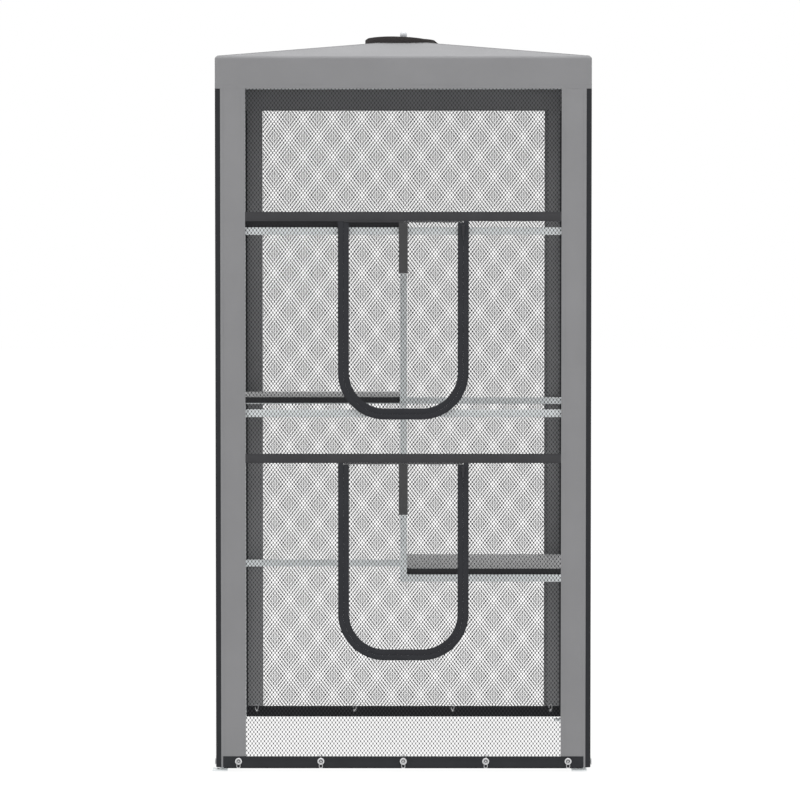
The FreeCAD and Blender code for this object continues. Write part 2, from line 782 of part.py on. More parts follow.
def make_front_nets():
    """The net round each door, in panels: beside the zip, under its bends and under its bottom run."""
    lows = {
        "upper": ("front_middle_net", value("lower_band_bottom + band_height - hem_lap")),
        "lower": ("front_bottom_net", value(f"{HEM_TOP} - hem_lap")),
    }
    reach = value(f"{OPENING} + seam_overlap")
    for door, (name, low) in lows.items():
        band_bottom = value(DOOR_BANDS[door])
        top = band_bottom + value("hem_lap")
        half, bottom, radius = zip_curve(band_bottom, value("tape_width - seam_overlap"))
        panels = [net(rectangle(radius - half, low, half - radius, bottom))]
        for side in (-1, 1):
            near, far = sorted((side * half, side * reach))
            panels.append(net(rectangle(near, low, far, top)))
            panels.append(net(bend_edges(half, bottom, radius, low, side)))
        node(name, shape(stand_on_wall(Part.makeCompound(panels), "front")))


def hinge_height(door):
    """The height of the line that a door turns about, just under its band."""
    return f"({DOOR_BANDS[door]} - running_gap - hinge_bead / 2)"


HINGE_DEPTH = "(cover_depth / 2 - (cloth_thickness + net_thickness) / 2)"


def make_door(door):
    """A door: its band, the tapes of its zip, and the net flap with the rounded fold it turns on."""
    bottom = DOOR_BANDS[door]
    inner = f"{HALF_DEPTH} - cloth_thickness"
    band = wall_box("front", OPENING, inner, HALF_DEPTH, bottom, f"{bottom} + band_height")
    node(f"{door}_door_band", band)

    band_bottom = value(bottom)
    door_inset = value("tape_width + teeth_gap")
    fold = value(hinge_height(door))
    fold_low = fold - value("hinge_bead / 2 + running_gap")
    node(f"{door}_frame_tape", shape(zip_tape(band_bottom, 0, band_bottom)))
    node(f"{door}_door_tape", shape(zip_tape(band_bottom, door_inset, fold_low)))

    net_inset = door_inset + value("tape_width - seam_overlap")
    half = zip_curve(band_bottom, net_inset)[0]
    edges = zip_edges(band_bottom, net_inset, fold)
    edges.append(Part.makeLine(FreeCAD.Vector(-half, 0, fold), FreeCAD.Vector(half, 0, fold)))
    flap = stand_on_wall(net(edges), "front")
    bead_half = zip_curve(band_bottom, door_inset)[0]
    bead_start = FreeCAD.Vector(-bead_half, -value(HINGE_DEPTH), fold)
    bead = Part.makeCylinder(value("hinge_bead / 2"), 2 * bead_half, bead_start, FreeCAD.Vector(1, 0, 0))
    node(f"{door}_door", shape(flap.fuse(bead)))


def make_strap(door):
    """A webbing strap that hangs in front of the door, with a rounded fold at its top."""
    fold = f"({hinge_height(door)} - strap_drop)"
    near = f"({HALF_DEPTH} - cloth_thickness + running_gap + strap_bead / 2)"
    plate = wall_box(
        "front",
        "strap_width / 2",
        f"{near} - strap_thickness / 2",
        f"{near} + strap_thickness / 2",
        f"{DOOR_BANDS[door]} - strap_length",
        fold,
    )
    bead = rod("x", "strap_bead", ("-strap_width / 2", f"-{near}", fold), "strap_width / 2")
    node(f"{door}_tie_strap", fuse([plate, bead]))


TEETH_X = "(zip_half_width - tape_width - teeth_gap / 2)"
SLIDER_FRONT = "(cover_depth / 2 + running_gap + slider_plate)"
PIN_DEPTH = "(cover_depth / 2 + 2 * running_gap + slider_plate + pull_eye / 2)"


def pin_height(door):
    """The height of the pin that a zip's pull hangs on."""
    return f"({DOOR_BANDS[door]} - slider_drop - slider_length / 4)"


def make_slider(door):
    """A zip slider on the right leg of the U: two plates, a web in the teeth between them, and two lugs."""
    high = f"{DOOR_BANDS[door]} - slider_drop"
    low = f"{high} - slider_length"
    left = f"{TEETH_X} - slider_width / 2"
    web = "(teeth_gap / 2 - running_gap)"
    back = f"({HALF_DEPTH} - cloth_thickness - running_gap)"
    web_right = f"{TEETH_X} + {web}"
    front_plate = box(
        (left, f"-{SLIDER_FRONT}", low),
        (f"{TEETH_X} + slider_width / 2", f"-({HALF_DEPTH} + running_gap)", high),
    )
    web_low = (f"{TEETH_X} - {web}", f"-({HALF_DEPTH} + running_gap)", low)
    web_block = box(web_low, (web_right, f"-{back}", high))
    back_plate = box((left, f"-{back}", low), (web_right, f"slider_plate - {back}", high))
    pieces = [front_plate, web_block, back_plate]
    pin_z = pin_height(door)
    pin_reach = "(pull_width / 2 + running_gap + lug_width)"
    for side in (-1, 1):
        start = f"{TEETH_X} - {pin_reach}" if side < 0 else f"{TEETH_X} + {pin_reach} - lug_width"
        lug_low = (start, f"-({PIN_DEPTH} + pull_pin / 2)", f"{pin_z} - pull_pin")
        lug_high = (f"{start} + lug_width", f"-{SLIDER_FRONT}", f"{pin_z} + pull_pin")
        pieces.append(box(lug_low, lug_high))
    pin_start = (f"{TEETH_X} - {pin_reach}", f"-{PIN_DEPTH}", pin_z)
    pieces.append(rod("x", "pull_pin", pin_start, f"{TEETH_X} + {pin_reach}"))
    node(f"{door}_zip_slider", fuse(pieces))


def make_pull(door):
    """The pull of a slider: a small plate with an eye round the slider's pin."""
    pin_z = pin_height(door)
    left = f"{TEETH_X} - pull_width / 2"
    right = f"{TEETH_X} + pull_width / 2"
    eye = rod("x", "pull_eye", (left, f"-{PIN_DEPTH}", pin_z), right)
    plate = box(
        (left, f"-({PIN_DEPTH} + pull_thickness / 2)", f"{pin_z} - pull_length"),
        (right, f"-({PIN_DEPTH} - pull_thickness / 2)", pin_z),
    )
    bore = rod("x", "pull_pin + 2 * pin_fit", (left, f"-{PIN_DEPTH}", pin_z), right)
    node(f"{door}_zip_pull", cut(fuse([plate, eye]), [bore]))


def loop_plan(inset):
    """The plan of the webbing loop's ring, inset from its outside: two bends and two straight runs."""
    radius = value("loop_width / 2") - inset
    left = value("(loop_width - loop_length) / 2")
    right = value("(loop_length - loop_width) / 2 - loop_tail")
    corners = [
        FreeCAD.Vector(x, y, 0)
        for x, y in ((left, -radius), (right, -radius), (right, radius), (left, radius))
    ]
    right_bend = Part.Arc(corners[1], FreeCAD.Vector(right + radius, 0, 0), corners[2])
    left_bend = Part.Arc(corners[3], FreeCAD.Vector(left - radius, 0, 0), corners[0])
    edges = [
        Part.makeLine(corners[0], corners[1]),
        right_bend.toShape(),
        Part.makeLine(corners[2], corners[3]),
        left_bend.toShape(),
    ]
    return Part.Face(Part.Wire(edges))


def loop_side():
    """The loop's ring seen from the front: an arched top from its left bend to a level shoulder."""
    half = value("loop_length / 2")
    ring_end = half - value("loop_tail")
    apex = value(APEX)
    bottom = apex - value("roof_rise")
    bend = FreeCAD.Vector(-half, 0, apex)
    bend_top = FreeCAD.Vector(value("loop_bend_run") - half, 0, apex + value("loop_bend_rise"))
    shoulder = FreeCAD.Vector(ring_end - value("loop_shoulder_run"), 0, apex)
    crest = FreeCAD.Vector((bend_top.x + shoulder.x) / 2, 0, apex + value("loop_crest"))
    corners = [
        shoulder,
        FreeCAD.Vector(ring_end, 0, apex),
        FreeCAD.Vector(ring_end, 0, bottom),
        FreeCAD.Vector(-half, 0, bottom),
        bend,
        bend_top,
    ]
    edges = [Part.makeLine(a, b) for a, b in zip(corners, corners[1:])]
    edges.append(Part.Arc(bend_top, crest, shoulder).toShape())
    face = Part.Face(Part.Wire(edges))
    face.translate(FreeCAD.Vector(0, -value("loop_width"), 0))
    return face.extrude(FreeCAD.Vector(0, 2 * value("loop_width"), 0))


def make_roof_loop():
    """A ring of webbing that lies on edge round the finial, sewn down by its tail."""
    half = value("loop_length / 2")
    ring_end = half - value("loop_tail")
    webbing = value("loop_webbing")
    slope = value(f"roof_rise / {HALF_WIDTH}")
    apex = value(APEX)
    seat = apex - slope * half + value("running_gap")
    ring = loop_plan(0).cut(loop_plan(webbing))
    ring.translate(UP * value("eave_height"))
    band = ring.extrude(UP * value("2 * roof_rise")).common(loop_side())
    for face in roof_faces():
        ground = face.extrude(UP * -value("roof_rise"))
        ground.translate(UP * value("running_gap"))
        band = band.cut(ground)
    tail_outline = [
        (ring_end - webbing, apex),
        (ring_end, apex),
        (half, seat + value("loop_end_height")),
        (half, seat),
        (ring_end - webbing, seat + slope * (half - ring_end + webbing)),
    ]
    tail = polygon_solid(tail_outline, 2 * webbing)
    tail.translate(FreeCAD.Vector(0, -webbing, 0))
    node("roof_loop", shape(band.fuse(tail).removeSplitter()))


def write_parts():
    """Checks every sub-part and writes it to its own file."""
    doc.recompute()
    for thing in doc.Objects:
        if "Invalid" in thing.State or "Error" in thing.State:
            raise RuntimeError(f"{thing.Label} failed: {thing.State}")
    os.makedirs("parts", exist_ok=True)
    for name, piece in nodes.items():
        if piece.Shape.isNull() or not piece.Shape.isValid():
            raise RuntimeError(f"{name} has no sound shape")
        piece.Shape.exportStep(f"parts/{name}.step")
    print(len(nodes), "sub-parts written")


make_legs()
make_leg_joints()
make_tier_rails()
make_centre()
make_shelf("upper", -1, -1)
make_shelf("middle", -1, 1)
make_shelf("lower", 1, 1)
make_roof_frame()
make_roof_cloth()
make_roof_loop()
make_columns()
make_bindings()
make_plain_nets()
make_front_nets()
make_hems()
make_hooks()
for door_name in DOOR_BANDS:
    make_door(door_name)
    make_strap(door_name)
    make_slider(door_name)
    make_pull(door_name)
write_parts()
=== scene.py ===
"""Dresses a cat playpen: tube frame, shelves, cloth cover, net walls, zipped doors and small hardware."""

import functools
import math
import typing

import bmesh
import bpy
from mathutils import Matrix, Vector, noise


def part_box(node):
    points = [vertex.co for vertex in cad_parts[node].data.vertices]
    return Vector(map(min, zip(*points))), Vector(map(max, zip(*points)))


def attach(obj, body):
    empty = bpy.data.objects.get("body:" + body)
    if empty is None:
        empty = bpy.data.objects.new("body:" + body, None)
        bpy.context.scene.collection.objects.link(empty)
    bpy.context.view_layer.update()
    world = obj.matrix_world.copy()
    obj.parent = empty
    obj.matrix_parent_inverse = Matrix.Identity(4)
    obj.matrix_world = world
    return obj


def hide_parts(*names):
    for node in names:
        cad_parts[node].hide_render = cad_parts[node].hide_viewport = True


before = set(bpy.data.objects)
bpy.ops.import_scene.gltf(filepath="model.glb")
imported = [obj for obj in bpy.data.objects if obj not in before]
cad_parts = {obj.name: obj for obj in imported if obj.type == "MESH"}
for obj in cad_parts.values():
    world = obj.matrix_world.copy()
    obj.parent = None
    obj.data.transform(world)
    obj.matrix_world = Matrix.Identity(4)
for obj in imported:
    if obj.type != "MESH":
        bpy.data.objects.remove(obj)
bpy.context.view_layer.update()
node_box = functools.lru_cache(maxsize=None)(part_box)

bl_info = {
    "name": "Cat Playpen",
    "version": (1, 0, 0),
    "blender": (4, 5, 0),
    "location": "View3D > Sidebar > Playpen",
    "description": "Builds a cat playpen with net walls, zipped doors and shelves on its tube frame",
    "category": "Add Mesh",
}

# Places read from the frame
ROOF_LOW, ROOF_HIGH = node_box("roof_gores")
SKIRT_LOW, SKIRT_HIGH = node_box("roof_skirt")
COLUMN_LOW, COLUMN_HIGH = node_box("front_columns")
BINDING_LOW, BINDING_HIGH = node_box("corner_bindings")
HEM_LOW, HEM_HIGH = node_box("bottom_hems")
EYELET_LOW, EYELET_HIGH = node_box("eyelets")
HOOK_LOW, HOOK_HIGH = node_box("front_hooks")
FINIAL_LOW, FINIAL_HIGH = node_box("finial")
FRONT_NET_LOW, FRONT_NET_HIGH = node_box("front_top_net")
SIDE_NET_LOW, SIDE_NET_HIGH = node_box("left_net")
NET_PLANE = (FRONT_NET_LOW.y + FRONT_NET_HIGH.y) / 2

# Names of bodies, walls and nodes
BODY = "tent"
DOORS = ("upper", "lower")
WALLS = ("front", "right", "back", "left")
TUBES = (
    "front_left_leg", "front_right_leg", "back_left_leg", "back_right_leg",
    "lower_side_rails", "middle_side_rails", "upper_side_rails",
    "upper_front_rail", "middle_front_rail", "middle_back_rail", "lower_back_rail",
    "centre_post", "centre_beams", "lower_cross_beam",
)
MOULDINGS = ("leg_joints", "eave_corner_joints", "post_joints", "rail_tees", "roof_hub", "feet")
ROOF_BARS = ("roof_rafters", "eave_rails")
SHELVES = ("upper_shelf", "middle_shelf", "lower_shelf")

MM = 0.001
QUARTER = math.pi / 2
FORWARD = Vector((0, -1, 0))

# Mesh work: points closer than WELD are one, edges flatter than FLAT vanish, edges sharper than SHARP are
# rounded, and a face looks one way when that part of its normal is more than FACING
WELD = 1e-6
FLAT = math.radians(0.5)
SHARP = math.radians(30)
CORNER_STEPS = 4
BEND_STEPS = 24
SOFT_SHADE = 50.0
ARC_STEPS = 8
NET_WELD = 0.02 * MM
FACING = 0.9

# Seams: distance of a row of stitches from the edge beside it
SEAM_INSET = 3 * MM
COLUMN_SEAMS = (4 * MM, 11 * MM)
BINDING_SEAM = 4 * MM
HEM_TOP_SEAM = 2 * MM
HEM_SEAM_END = 8 * MM
BAND_SEAM_END = 2 * MM
STRAP_SEAMS = (4 * MM, 19 * MM)

# Roof
SKIRT_HEM = 14 * MM
HEM_STEP = 0.1 * MM
SKIRT_RIPPLE = 0.7 * MM
SKIRT_WAVES = Vector((9, 9, 5))
SKIRT_STEPS = 7
ROOF_PER_SIDE = 56
ROOF_RINGS = 26
ROOF_SHADE = 25.0
HIP_START = 9 * MM
HIP_STEPS = 40
HIP_LIFT = 0.5 * MM
HIP_SEAM = 0.6
HIP_SEAM_LIFT = 0.6 * MM
LOOP_EDGE = 0.35 * MM
STEM_HOLE = 0.55
STEM_SHARE = 0.4
BALL_STEPS = 24
BALL_SIDES = 48

# Columns and bindings
COLUMN_RIPPLE = 0.8 * MM
COLUMN_WAVES = Vector((12, 3, 4))
COLUMN_STEPS = 12
COLUMN_ROWS = 150
BINDING_TUCK = 2 * MM
TUCK_STEPS = 5
BINDING_ROWS = 60

# Hems, eyelets and hooks. HEM_MIDDLE is the distance of a hem's middle plane from the tent's axis
HEM_MIDDLE = -HEM_LOW.y - 1 * MM
HEM_CORNER = 0.7 * MM
HEM_EDGE = 1.5 * MM
HEM_EDGE_DROP = 0.6 * MM
HEM_EDGE_SIDES = 12
EYELET_HOLE = 0.57
EYELET_CROWN = 1.5
EYELET_SIDES = 40
WASHER = 0.6 * MM
WASHER_BORE = 2.0 * MM
HOOK_BEND = ((0.45, 0.12), (0.95, 0.3), (1.0, 0.6), (0.95, 0.9), (0.5, 1.0), (-0.5, 1.0), (-0.95, 0.9),
             (-1.0, 0.6), (-0.95, 0.3), (-0.4, 0.06))
HARDWARE_SHADE = 60.0

# Doors
BAND_EDGE = 0.4 * MM
TAPE_EDGE = 0.3 * MM
SLIDER_EDGE = 0.6 * MM
PULL_EDGE = 0.4 * MM
TOOTH = (1.3 * MM, 2.0 * MM, 1.6 * MM)
FRAME_TOOTH_INSET = 0.2 * MM
DOOR_TOOTH_INSET = 1.3 * MM
LIP_SHARE = 0.47
LIP_DEPTHS = (0.25, 0.75)
ROLL_SIDES = 16
ROLL_END = 0.7
STRAP_THICKNESS = 1.5 * MM
STRAP_STEPS = 36
STRAP_SWAY = 0.25 * MM
STRAP_WAVES = 5.0
STRAP_FOLD = 0.84
STRAP_FOLD_SWELL = 1.35
STRAP_SEAM_LIFT = 1.2
ROOT_THICKNESS = 0.6 * MM
ROOT_OVERLAP = 1.0 * MM
ROOT_DROP = 1.2
SLEEVE_WALL = 0.2 * MM

# Stage
CAMERA_PLACE = (0.0072, -8.6625, 1.2800)
CAMERA_TILT = 2.013
CAMERA_TURN = 0.112
CAMERA_LENS = 138.19
CAMERA_REACH = 200.0
SENSOR = 36.0
FLOOR_HALF = 60.0
FLOOR_DROP = 0.3 * MM
FLOOR_GLOW = 0.89
LAMP_PLACE = (0.0, -1.0, 8.0)
LAMP_SIZE = 8.0
LAMP_POWER = 600.0
WHITE = (1.0, 1.0, 1.0, 1.0)


def length(name, description, default):
    """A length that the user can set."""
    return bpy.props.FloatProperty(
        name=name, description=description, default=default, min=0.0, unit="LENGTH", precision=5
    )


def colour(name, description, default):
    """A colour that the user can set."""
    return bpy.props.FloatVectorProperty(
        name=name, description=description, default=default, min=0.0, max=1.0, size=3, subtype="COLOR"
    )


class PlaypenSizes(bpy.types.PropertyGroup):
    """Sizes of the finish and of the small repeated parts."""

    tube_corner: length("Tube corner", "Radius of the long edges of the square tubes", 2.2 * MM)
    tube_wall: length("Tube wall", "Wall of the square tubes", 1.2 * MM)
    joint_edge: length("Joint edge", "Radius of the edges of the moulded joints", 1.6 * MM)
    shelf_edge: length("Shelf edge", "Radius of the edges of the shelves", 0.9 * MM)
    felt: length("Felt", "Thickness of the felt on a shelf", 1.5 * MM)
    cloth: length("Cloth", "Thickness of the cover's cloth", 1.0 * MM)
    eave_fold: length("Eave fold", "Radius of the cloth over the eaves", 9.0 * MM)
    skirt_corner: length("Skirt corner", "Radius of the skirt round the upright corners", 5.0 * MM)
    roof_sag: length("Roof sag", "How far the cloth of a gore sags between hips", 3.0 * MM)
    hip_tape: length("Hip tape", "Width of the sewn tape along each hip", 12.0 * MM)
    column_width: length("Column width", "Width of a cloth column", 66.0 * MM)
    column_tongue: length("Column tongue", "Width of the strip that goes on past the hem", 5.0 * MM)
    binding_width: length("Binding width", "Reach of a corner binding along each wall", 34.0 * MM)
    binding_corner: length("Binding corner", "Radius of a binding round its corner", 3.5 * MM)
    net_pitch: length("Net pitch", "Distance between net cells along a row", 9.5 * MM)
    net_row: length("Net row", "Distance between rows of net cells", 6.25 * MM)
    net_slant: length("Net slant", "Height that a slanted strand climbs", 3.1 * MM)
    net_strand: length("Net strand", "Width of a slanted strand of the net", 0.65 * MM)
    net_pillar: length("Net pillar", "Width of the knitted upright between two cells", 2.6 * MM)
    net_tuck: length("Net tuck", "How far the net runs in under tapes and bands", 4.0 * MM)
    stitch_pitch: length("Stitch pitch", "Distance between stitches", 4.2 * MM)
    stitch_length: length("Stitch length", "Length of a stitch", 3.0 * MM)
    stitch_width: length("Stitch width", "Width of a stitch", 0.65 * MM)
    zip_radius: length("Zip radius", "Outer radius of the bends of a door's zip", 125.0 * MM)
    zip_tape: length("Zip tape", "Width of one tape of the zip", 14.0 * MM)
    tooth_pitch: length("Tooth pitch", "Distance between zip teeth on one tape", 2.6 * MM)
    hook_wire: length("Hook wire", "Diameter of the hooks' wire", 2.0 * MM)
    hook_width: length("Hook width", "Width of a hook's loop", 11.0 * MM)


class PlaypenColours(bpy.types.PropertyGroup):
    """Colours of the finishes."""

    grey_cloth: colour("Cloth", "Cloth of the roof and columns", (0.233, 0.233, 0.239))
    # painted shade: the cloth's back, seen inside the tent, is coloured darker than its face for the shade
    # there
    cloth_back: colour("Cloth back", "Coated back of the cloth", (0.21, 0.21, 0.215))
    dark_webbing: colour("Webbing", "Corner bindings and hems", (0.029, 0.030, 0.033))
    band_webbing: colour("Band", "Bands over the doors", (0.048, 0.048, 0.051))
    strap_webbing: colour("Strap", "Tie straps", (0.061, 0.061, 0.062))
    loop_webbing: colour("Loop", "Webbing loop on the roof", (0.040, 0.036, 0.036))
    netting: colour("Net", "Strands of the net", (0.030, 0.031, 0.033))
    zip_tape: colour("Zip tape", "Tapes and teeth of the zips", (0.030, 0.031, 0.035))
    tube_steel: colour("Tubes", "Coated steel tubes", (0.75, 0.78, 0.79))
    joint_plastic: colour("Joints", "Moulded joints and feet", (0.72, 0.75, 0.76))
    finial_plastic: colour("Finial", "Ball on the roof", (0.50, 0.51, 0.53))
    shelf_board: colour("Shelf edge", "Edges and underside of the shelves", (0.027, 0.027, 0.029))
    shelf_felt: colour("Shelf felt", "Felt on top of the shelves", (0.21, 0.21, 0.215))
    # painted shade: the hems' inward faces and the rod under their bottom edge are coloured darker than the
    # webbing
    hem_lining: colour("Hem lining", "Inner face of the hems", (0.014, 0.014, 0.016))
    bright_metal: colour("Bright metal", "Eyelets", (0.68, 0.68, 0.69))
    # painted shade: the hooks' wire is coloured darker than the eyelets for the shade it lies in within the
    # holes
    wire_metal: colour("Wire", "Hooks", (0.55, 0.55, 0.56))
    # painted shade: a dark washer fills each eyelet's hole and stands in for the shade seen through it
    washer_metal: colour("Washers", "Washers inside the eyelets", (0.19, 0.19, 0.195))
    dark_metal: colour("Dark metal", "Zip sliders and pulls", (0.030, 0.030, 0.034))
    floor: colour("Floor", "Pale floor under the playpen", (0.12, 0.12, 0.12))


def sizes():
    """The sizes set on the scene."""
    return bpy.context.scene.playpen_sizes


def colours():
    """The colours set on the scene."""
    return bpy.context.scene.playpen_colours


# Finishes

PLAIN_WEAVE = (1.4 * MM, (1, 1, 1))
UPRIGHT_RIBS = (1.8 * MM, (1, 1, 0.2))
LEVEL_RIBS = (1.8 * MM, (0.2, 0.2, 1))
STRAP_RIBS = (1.6 * MM, (1, 0.2, 0.5))
TAPE_WEAVE = (1.0 * MM, (1, 0.4, 1))
WEAVE_SHARE = 0.08
CLOUD_DETAIL = 4.0
GRAIN_DETAIL = 2.0
GRAIN_SCALE = 40
RELIEF_STRENGTH = 0.6
ROUGHNESS_SPREAD = 0.1
TONE_STOPS = (0.2, 0.8)


class Finish(typing.NamedTuple):
    """Look of a material, with the setting that holds its colour.

    spread is how far the tone goes either way, cloud the scale of the mottling and relief the depth of the
    weave, or of fine grain where there is no weave. A weave is a period and a weight along each axis. A
    finish can be darkened as painted shade by the share of its colour that is kept, and slot is given where
    it isn't the finish's own name; nothing reads slot.
    """

    colour: str
    roughness: float
    spread: float
    cloud: float
    relief: float
    weave: tuple = None
    gloss: float = 0.1
    metallic: float = 0.0
    sheen: float = 0.0
    # painted shade: share of the colour kept where a finish is darkened
    shaded_share: float = 1.0
    slot: str = ""


# The cloth's face, then its back, which is coloured darker as painted shade inside the tent
CLOTH = ("grey_cloth", "cloth_back")
WEBBING = (0.75, 0.12, 20.0, 0.25 * MM)
METAL = {"gloss": 0.5, "metallic": 1.0}
FINISHES = {
    "grey_cloth": Finish("grey_cloth", 0.85, 0.05, 7.0, 0.15 * MM, PLAIN_WEAVE),
    "cloth_back": Finish("cloth_back", 0.65, 0.06, 9.0, 0.08 * MM, PLAIN_WEAVE, slot="grey_cloth"),
    # painted shade: the grey stitches are coloured darker than the cloth
    "thread": Finish("grey_cloth", 0.7, 0.1, 60.0, 0.03 * MM, shaded_share=0.93, slot="grey_cloth"),
    "upright_webbing": Finish("dark_webbing", *WEBBING, UPRIGHT_RIBS, slot="dark_webbing"),
    "level_webbing": Finish("dark_webbing", *WEBBING, LEVEL_RIBS, slot="dark_webbing"),
    "band_webbing": Finish("band_webbing", *WEBBING, LEVEL_RIBS, slot="dark_webbing"),
    "loop_webbing": Finish("loop_webbing", *WEBBING, LEVEL_RIBS, slot="dark_webbing"),
    "strap_webbing": Finish("strap_webbing", 0.8, 0.12, 24.0, 0.3 * MM, STRAP_RIBS, slot="dark_webbing"),
    # painted shade on the hems' inward faces and along their bottom edge
    "hem_lining": Finish("hem_lining", 0.8, 0.12, 20.0, 0.1 * MM, slot="dark_webbing"),
    # painted shade: the dark stitches are coloured darker than the webbing to cancel the light on their
    # raised tops
    "dark_thread": Finish("dark_webbing", 0.6, 0.1, 60.0, 0.03 * MM, shaded_share=0.85, slot="dark_webbing"),
    "netting": Finish("netting", 0.7, 0.15, 30.0, 0.05 * MM),
    "zip_tape": Finish("zip_tape", 0.7, 0.1, 20.0, 0.15 * MM, TAPE_WEAVE),
    "zip_teeth": Finish("zip_tape", 0.5, 0.1, 40.0, 0.03 * MM, slot="zip_tape"),
    "tube_steel": Finish("tube_steel", 0.42, 0.03, 16.0, 0.05 * MM, gloss=0.5),
    "joint_plastic": Finish("joint_plastic", 0.5, 0.03, 20.0, 0.06 * MM, gloss=0.5),
    "finial_plastic": Finish("finial_plastic", 0.25, 0.02, 30.0, 0.02 * MM, gloss=0.5),
    "shelf_board": Finish("shelf_board", 0.55, 0.15, 25.0, 0.08 * MM),
    "shelf_felt": Finish("shelf_felt", 0.6, 0.12, 14.0, 0.3 * MM, gloss=0.9, sheen=0.33, slot="shelf_board"),
    "bright_metal": Finish("bright_metal", 0.4, 0.04, 60.0, 0.02 * MM, **METAL),
    # painted shade: darker than the eyelets for the shade within the holes
    "wire_metal": Finish("wire_metal", 0.45, 0.04, 60.0, 0.02 * MM, **METAL, slot="bright_metal"),
    # painted shade in the eyelets' holes
    "washer_metal": Finish("washer_metal", 0.5, 0.06, 60.0, 0.02 * MM, **METAL, slot="bright_metal"),
    "dark_metal": Finish("dark_metal", 0.45, 0.08, 60.0, 0.02 * MM, gloss=0.2),
    "floor": Finish("floor", 0.9, 0.0, 1.0, 0.0, gloss=0.0),
}


def add_node(tree, kind, inputs=None, **settings):
    """Adds a node, with its settings, and fills or links its inputs."""
    made = tree.nodes.new(kind)
    for name, setting in settings.items():
        setattr(made, name, setting)
    for socket, source in (inputs or {}).items():
        if isinstance(source, bpy.types.NodeSocket):
            tree.links.new(source, made.inputs[socket])
        else:
            made.inputs[socket].default_value = source
    return made


def output(tree, kind, inputs=None, **settings):
    """First output of a new node."""
    return add_node(tree, kind, inputs, **settings).outputs[0]


def waves(tree, where, period, weights):
    """Sum of sine waves along the axes, each by its weight."""
    kind = "ShaderNodeVectorMath"
    scaled = output(tree, kind, {0: where, "Scale": math.tau / period}, operation="SCALE")
    sines = output(tree, kind, {0: scaled}, operation="SINE")
    return add_node(tree, kind, {0: sines, 1: weights}, operation="DOT_PRODUCT").outputs["Value"]


def cloudy(tree, where, scale, detail):
    """Soft random variation from 0 to 1."""
    return output(tree, "ShaderNodeTexNoise", {"Vector": where, "Scale": scale, "Detail": detail})


def tinted(tree, factor, tone, spread):
    """A colour that runs a little darker and lighter than tone as factor goes from 0 to 1."""
    ramp = add_node(tree, "ShaderNodeValToRGB", {"Fac": factor})
    for stop, share, place in zip(ramp.color_ramp.elements, (1 - spread, 1 + spread), TONE_STOPS):
        stop.position = place
        stop.color = [min(1.0, part * share) for part in tone] + [1.0]
    return ramp.outputs["Color"]


def finish(name):
    """The material of that name, with mottled colour and a relief, made on its first use."""
    label = "playpen_" + name
    if label in bpy.data.materials:
        return bpy.data.materials[label]
    look = FINISHES[name]
    tone = [part * look.shaded_share for part in getattr(colours(), look.colour)]
    material = bpy.data.materials.new(label)
    material.use_nodes = True
    tree = material.node_tree
    surface = tree.nodes["Principled BSDF"]
    where = add_node(tree, "ShaderNodeTexCoord").outputs["Object"]
    factor = cloudy(tree, where, look.cloud, CLOUD_DETAIL)
    if look.weave:
        relief = waves(tree, where, *look.weave)
        inputs = {0: relief, 1: WEAVE_SHARE, 2: factor}
        factor = output(tree, "ShaderNodeMath", inputs, operation="MULTIPLY_ADD")
    else:
        relief = cloudy(tree, where, look.cloud * GRAIN_SCALE, GRAIN_DETAIL)
    inputs = {"Height": relief, "Distance": look.relief, "Strength": RELIEF_STRENGTH}
    grain = output(tree, "ShaderNodeBump", inputs)
    smooth, coarse = [look.roughness * (1 + sign * ROUGHNESS_SPREAD) for sign in (-1, 1)]
    inputs = {"Value": factor, "To Min": smooth, "To Max": min(1.0, coarse)}
    roughness = output(tree, "ShaderNodeMapRange", inputs)
    tree.links.new(tinted(tree, factor, tone, look.spread), surface.inputs["Base Color"])
    tree.links.new(grain, surface.inputs["Normal"])
    tree.links.new(roughness, surface.inputs["Roughness"])
    surface.inputs["Metallic"].default_value = look.metallic
    surface.inputs["Sheen Weight"].default_value = look.sheen
    surface.inputs["Specular IOR Level"].default_value = look.gloss
    return material


# Mesh tools

def spaced(first, last, steps):
    """Evenly spaced numbers from first to last."""
    return [first + (last - first) * step / steps for step in range(steps + 1)]


def baked(shape, name):
    """A plain mesh of a finished shape."""
    mesh = bpy.data.meshes.new(name)
    shape.to_mesh(mesh)
    shape.free()
    return mesh


def placed(name, data):
    """A new object in the scene."""
    made = bpy.data.objects.new(name, data)
    bpy.context.scene.collection.objects.link(made)
    return made


def evaluated(made):
    """A plain mesh of an object with its modifiers."""
    return bpy.data.meshes.new_from_object(made.evaluated_get(bpy.context.evaluated_depsgraph_get()))


def add_piece(name, mesh, finishes, nodes=(), body=BODY, shade=35.0, thickness=None):
    """Adds a finished mesh to the scene, on its body and in place of its nodes.

    Its shading is smooth, with edges sharper than shade kept crisp, or flat without shade. A sheet gets its
    thickness inwards, with the second finish on its back.
    """
    if isinstance(mesh, bmesh.types.BMesh):
        mesh = baked(mesh, name)
    for label in finishes:
        mesh.materials.append(finish(label))
    made = placed(name, mesh)
    if thickness:
        wall = made.modifiers.new("thickness", "SOLIDIFY")
        wall.thickness = thickness
        wall.offset = -1.0
        wall.material_offset = 1
        made.data = evaluated(made)
        made.modifiers.clear()
        bpy.data.meshes.remove(mesh)
    if shade:
        made.data.polygons.foreach_set("use_smooth", [True] * len(made.data.polygons))
        made.data.set_sharp_from_angle(angle=math.radians(shade))
    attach(made, body)
    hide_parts(*nodes)
    return made


def cad_copy(node):
    """A merged copy of a node's mesh, with its flat faces whole."""
    shape = bmesh.new()
    shape.from_mesh(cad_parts[node].data)
    bmesh.ops.remove_doubles(shape, verts=shape.verts, dist=WELD)
    bmesh.ops.dissolve_limit(shape, angle_limit=FLAT, verts=shape.verts, edges=shape.edges)
    return shape


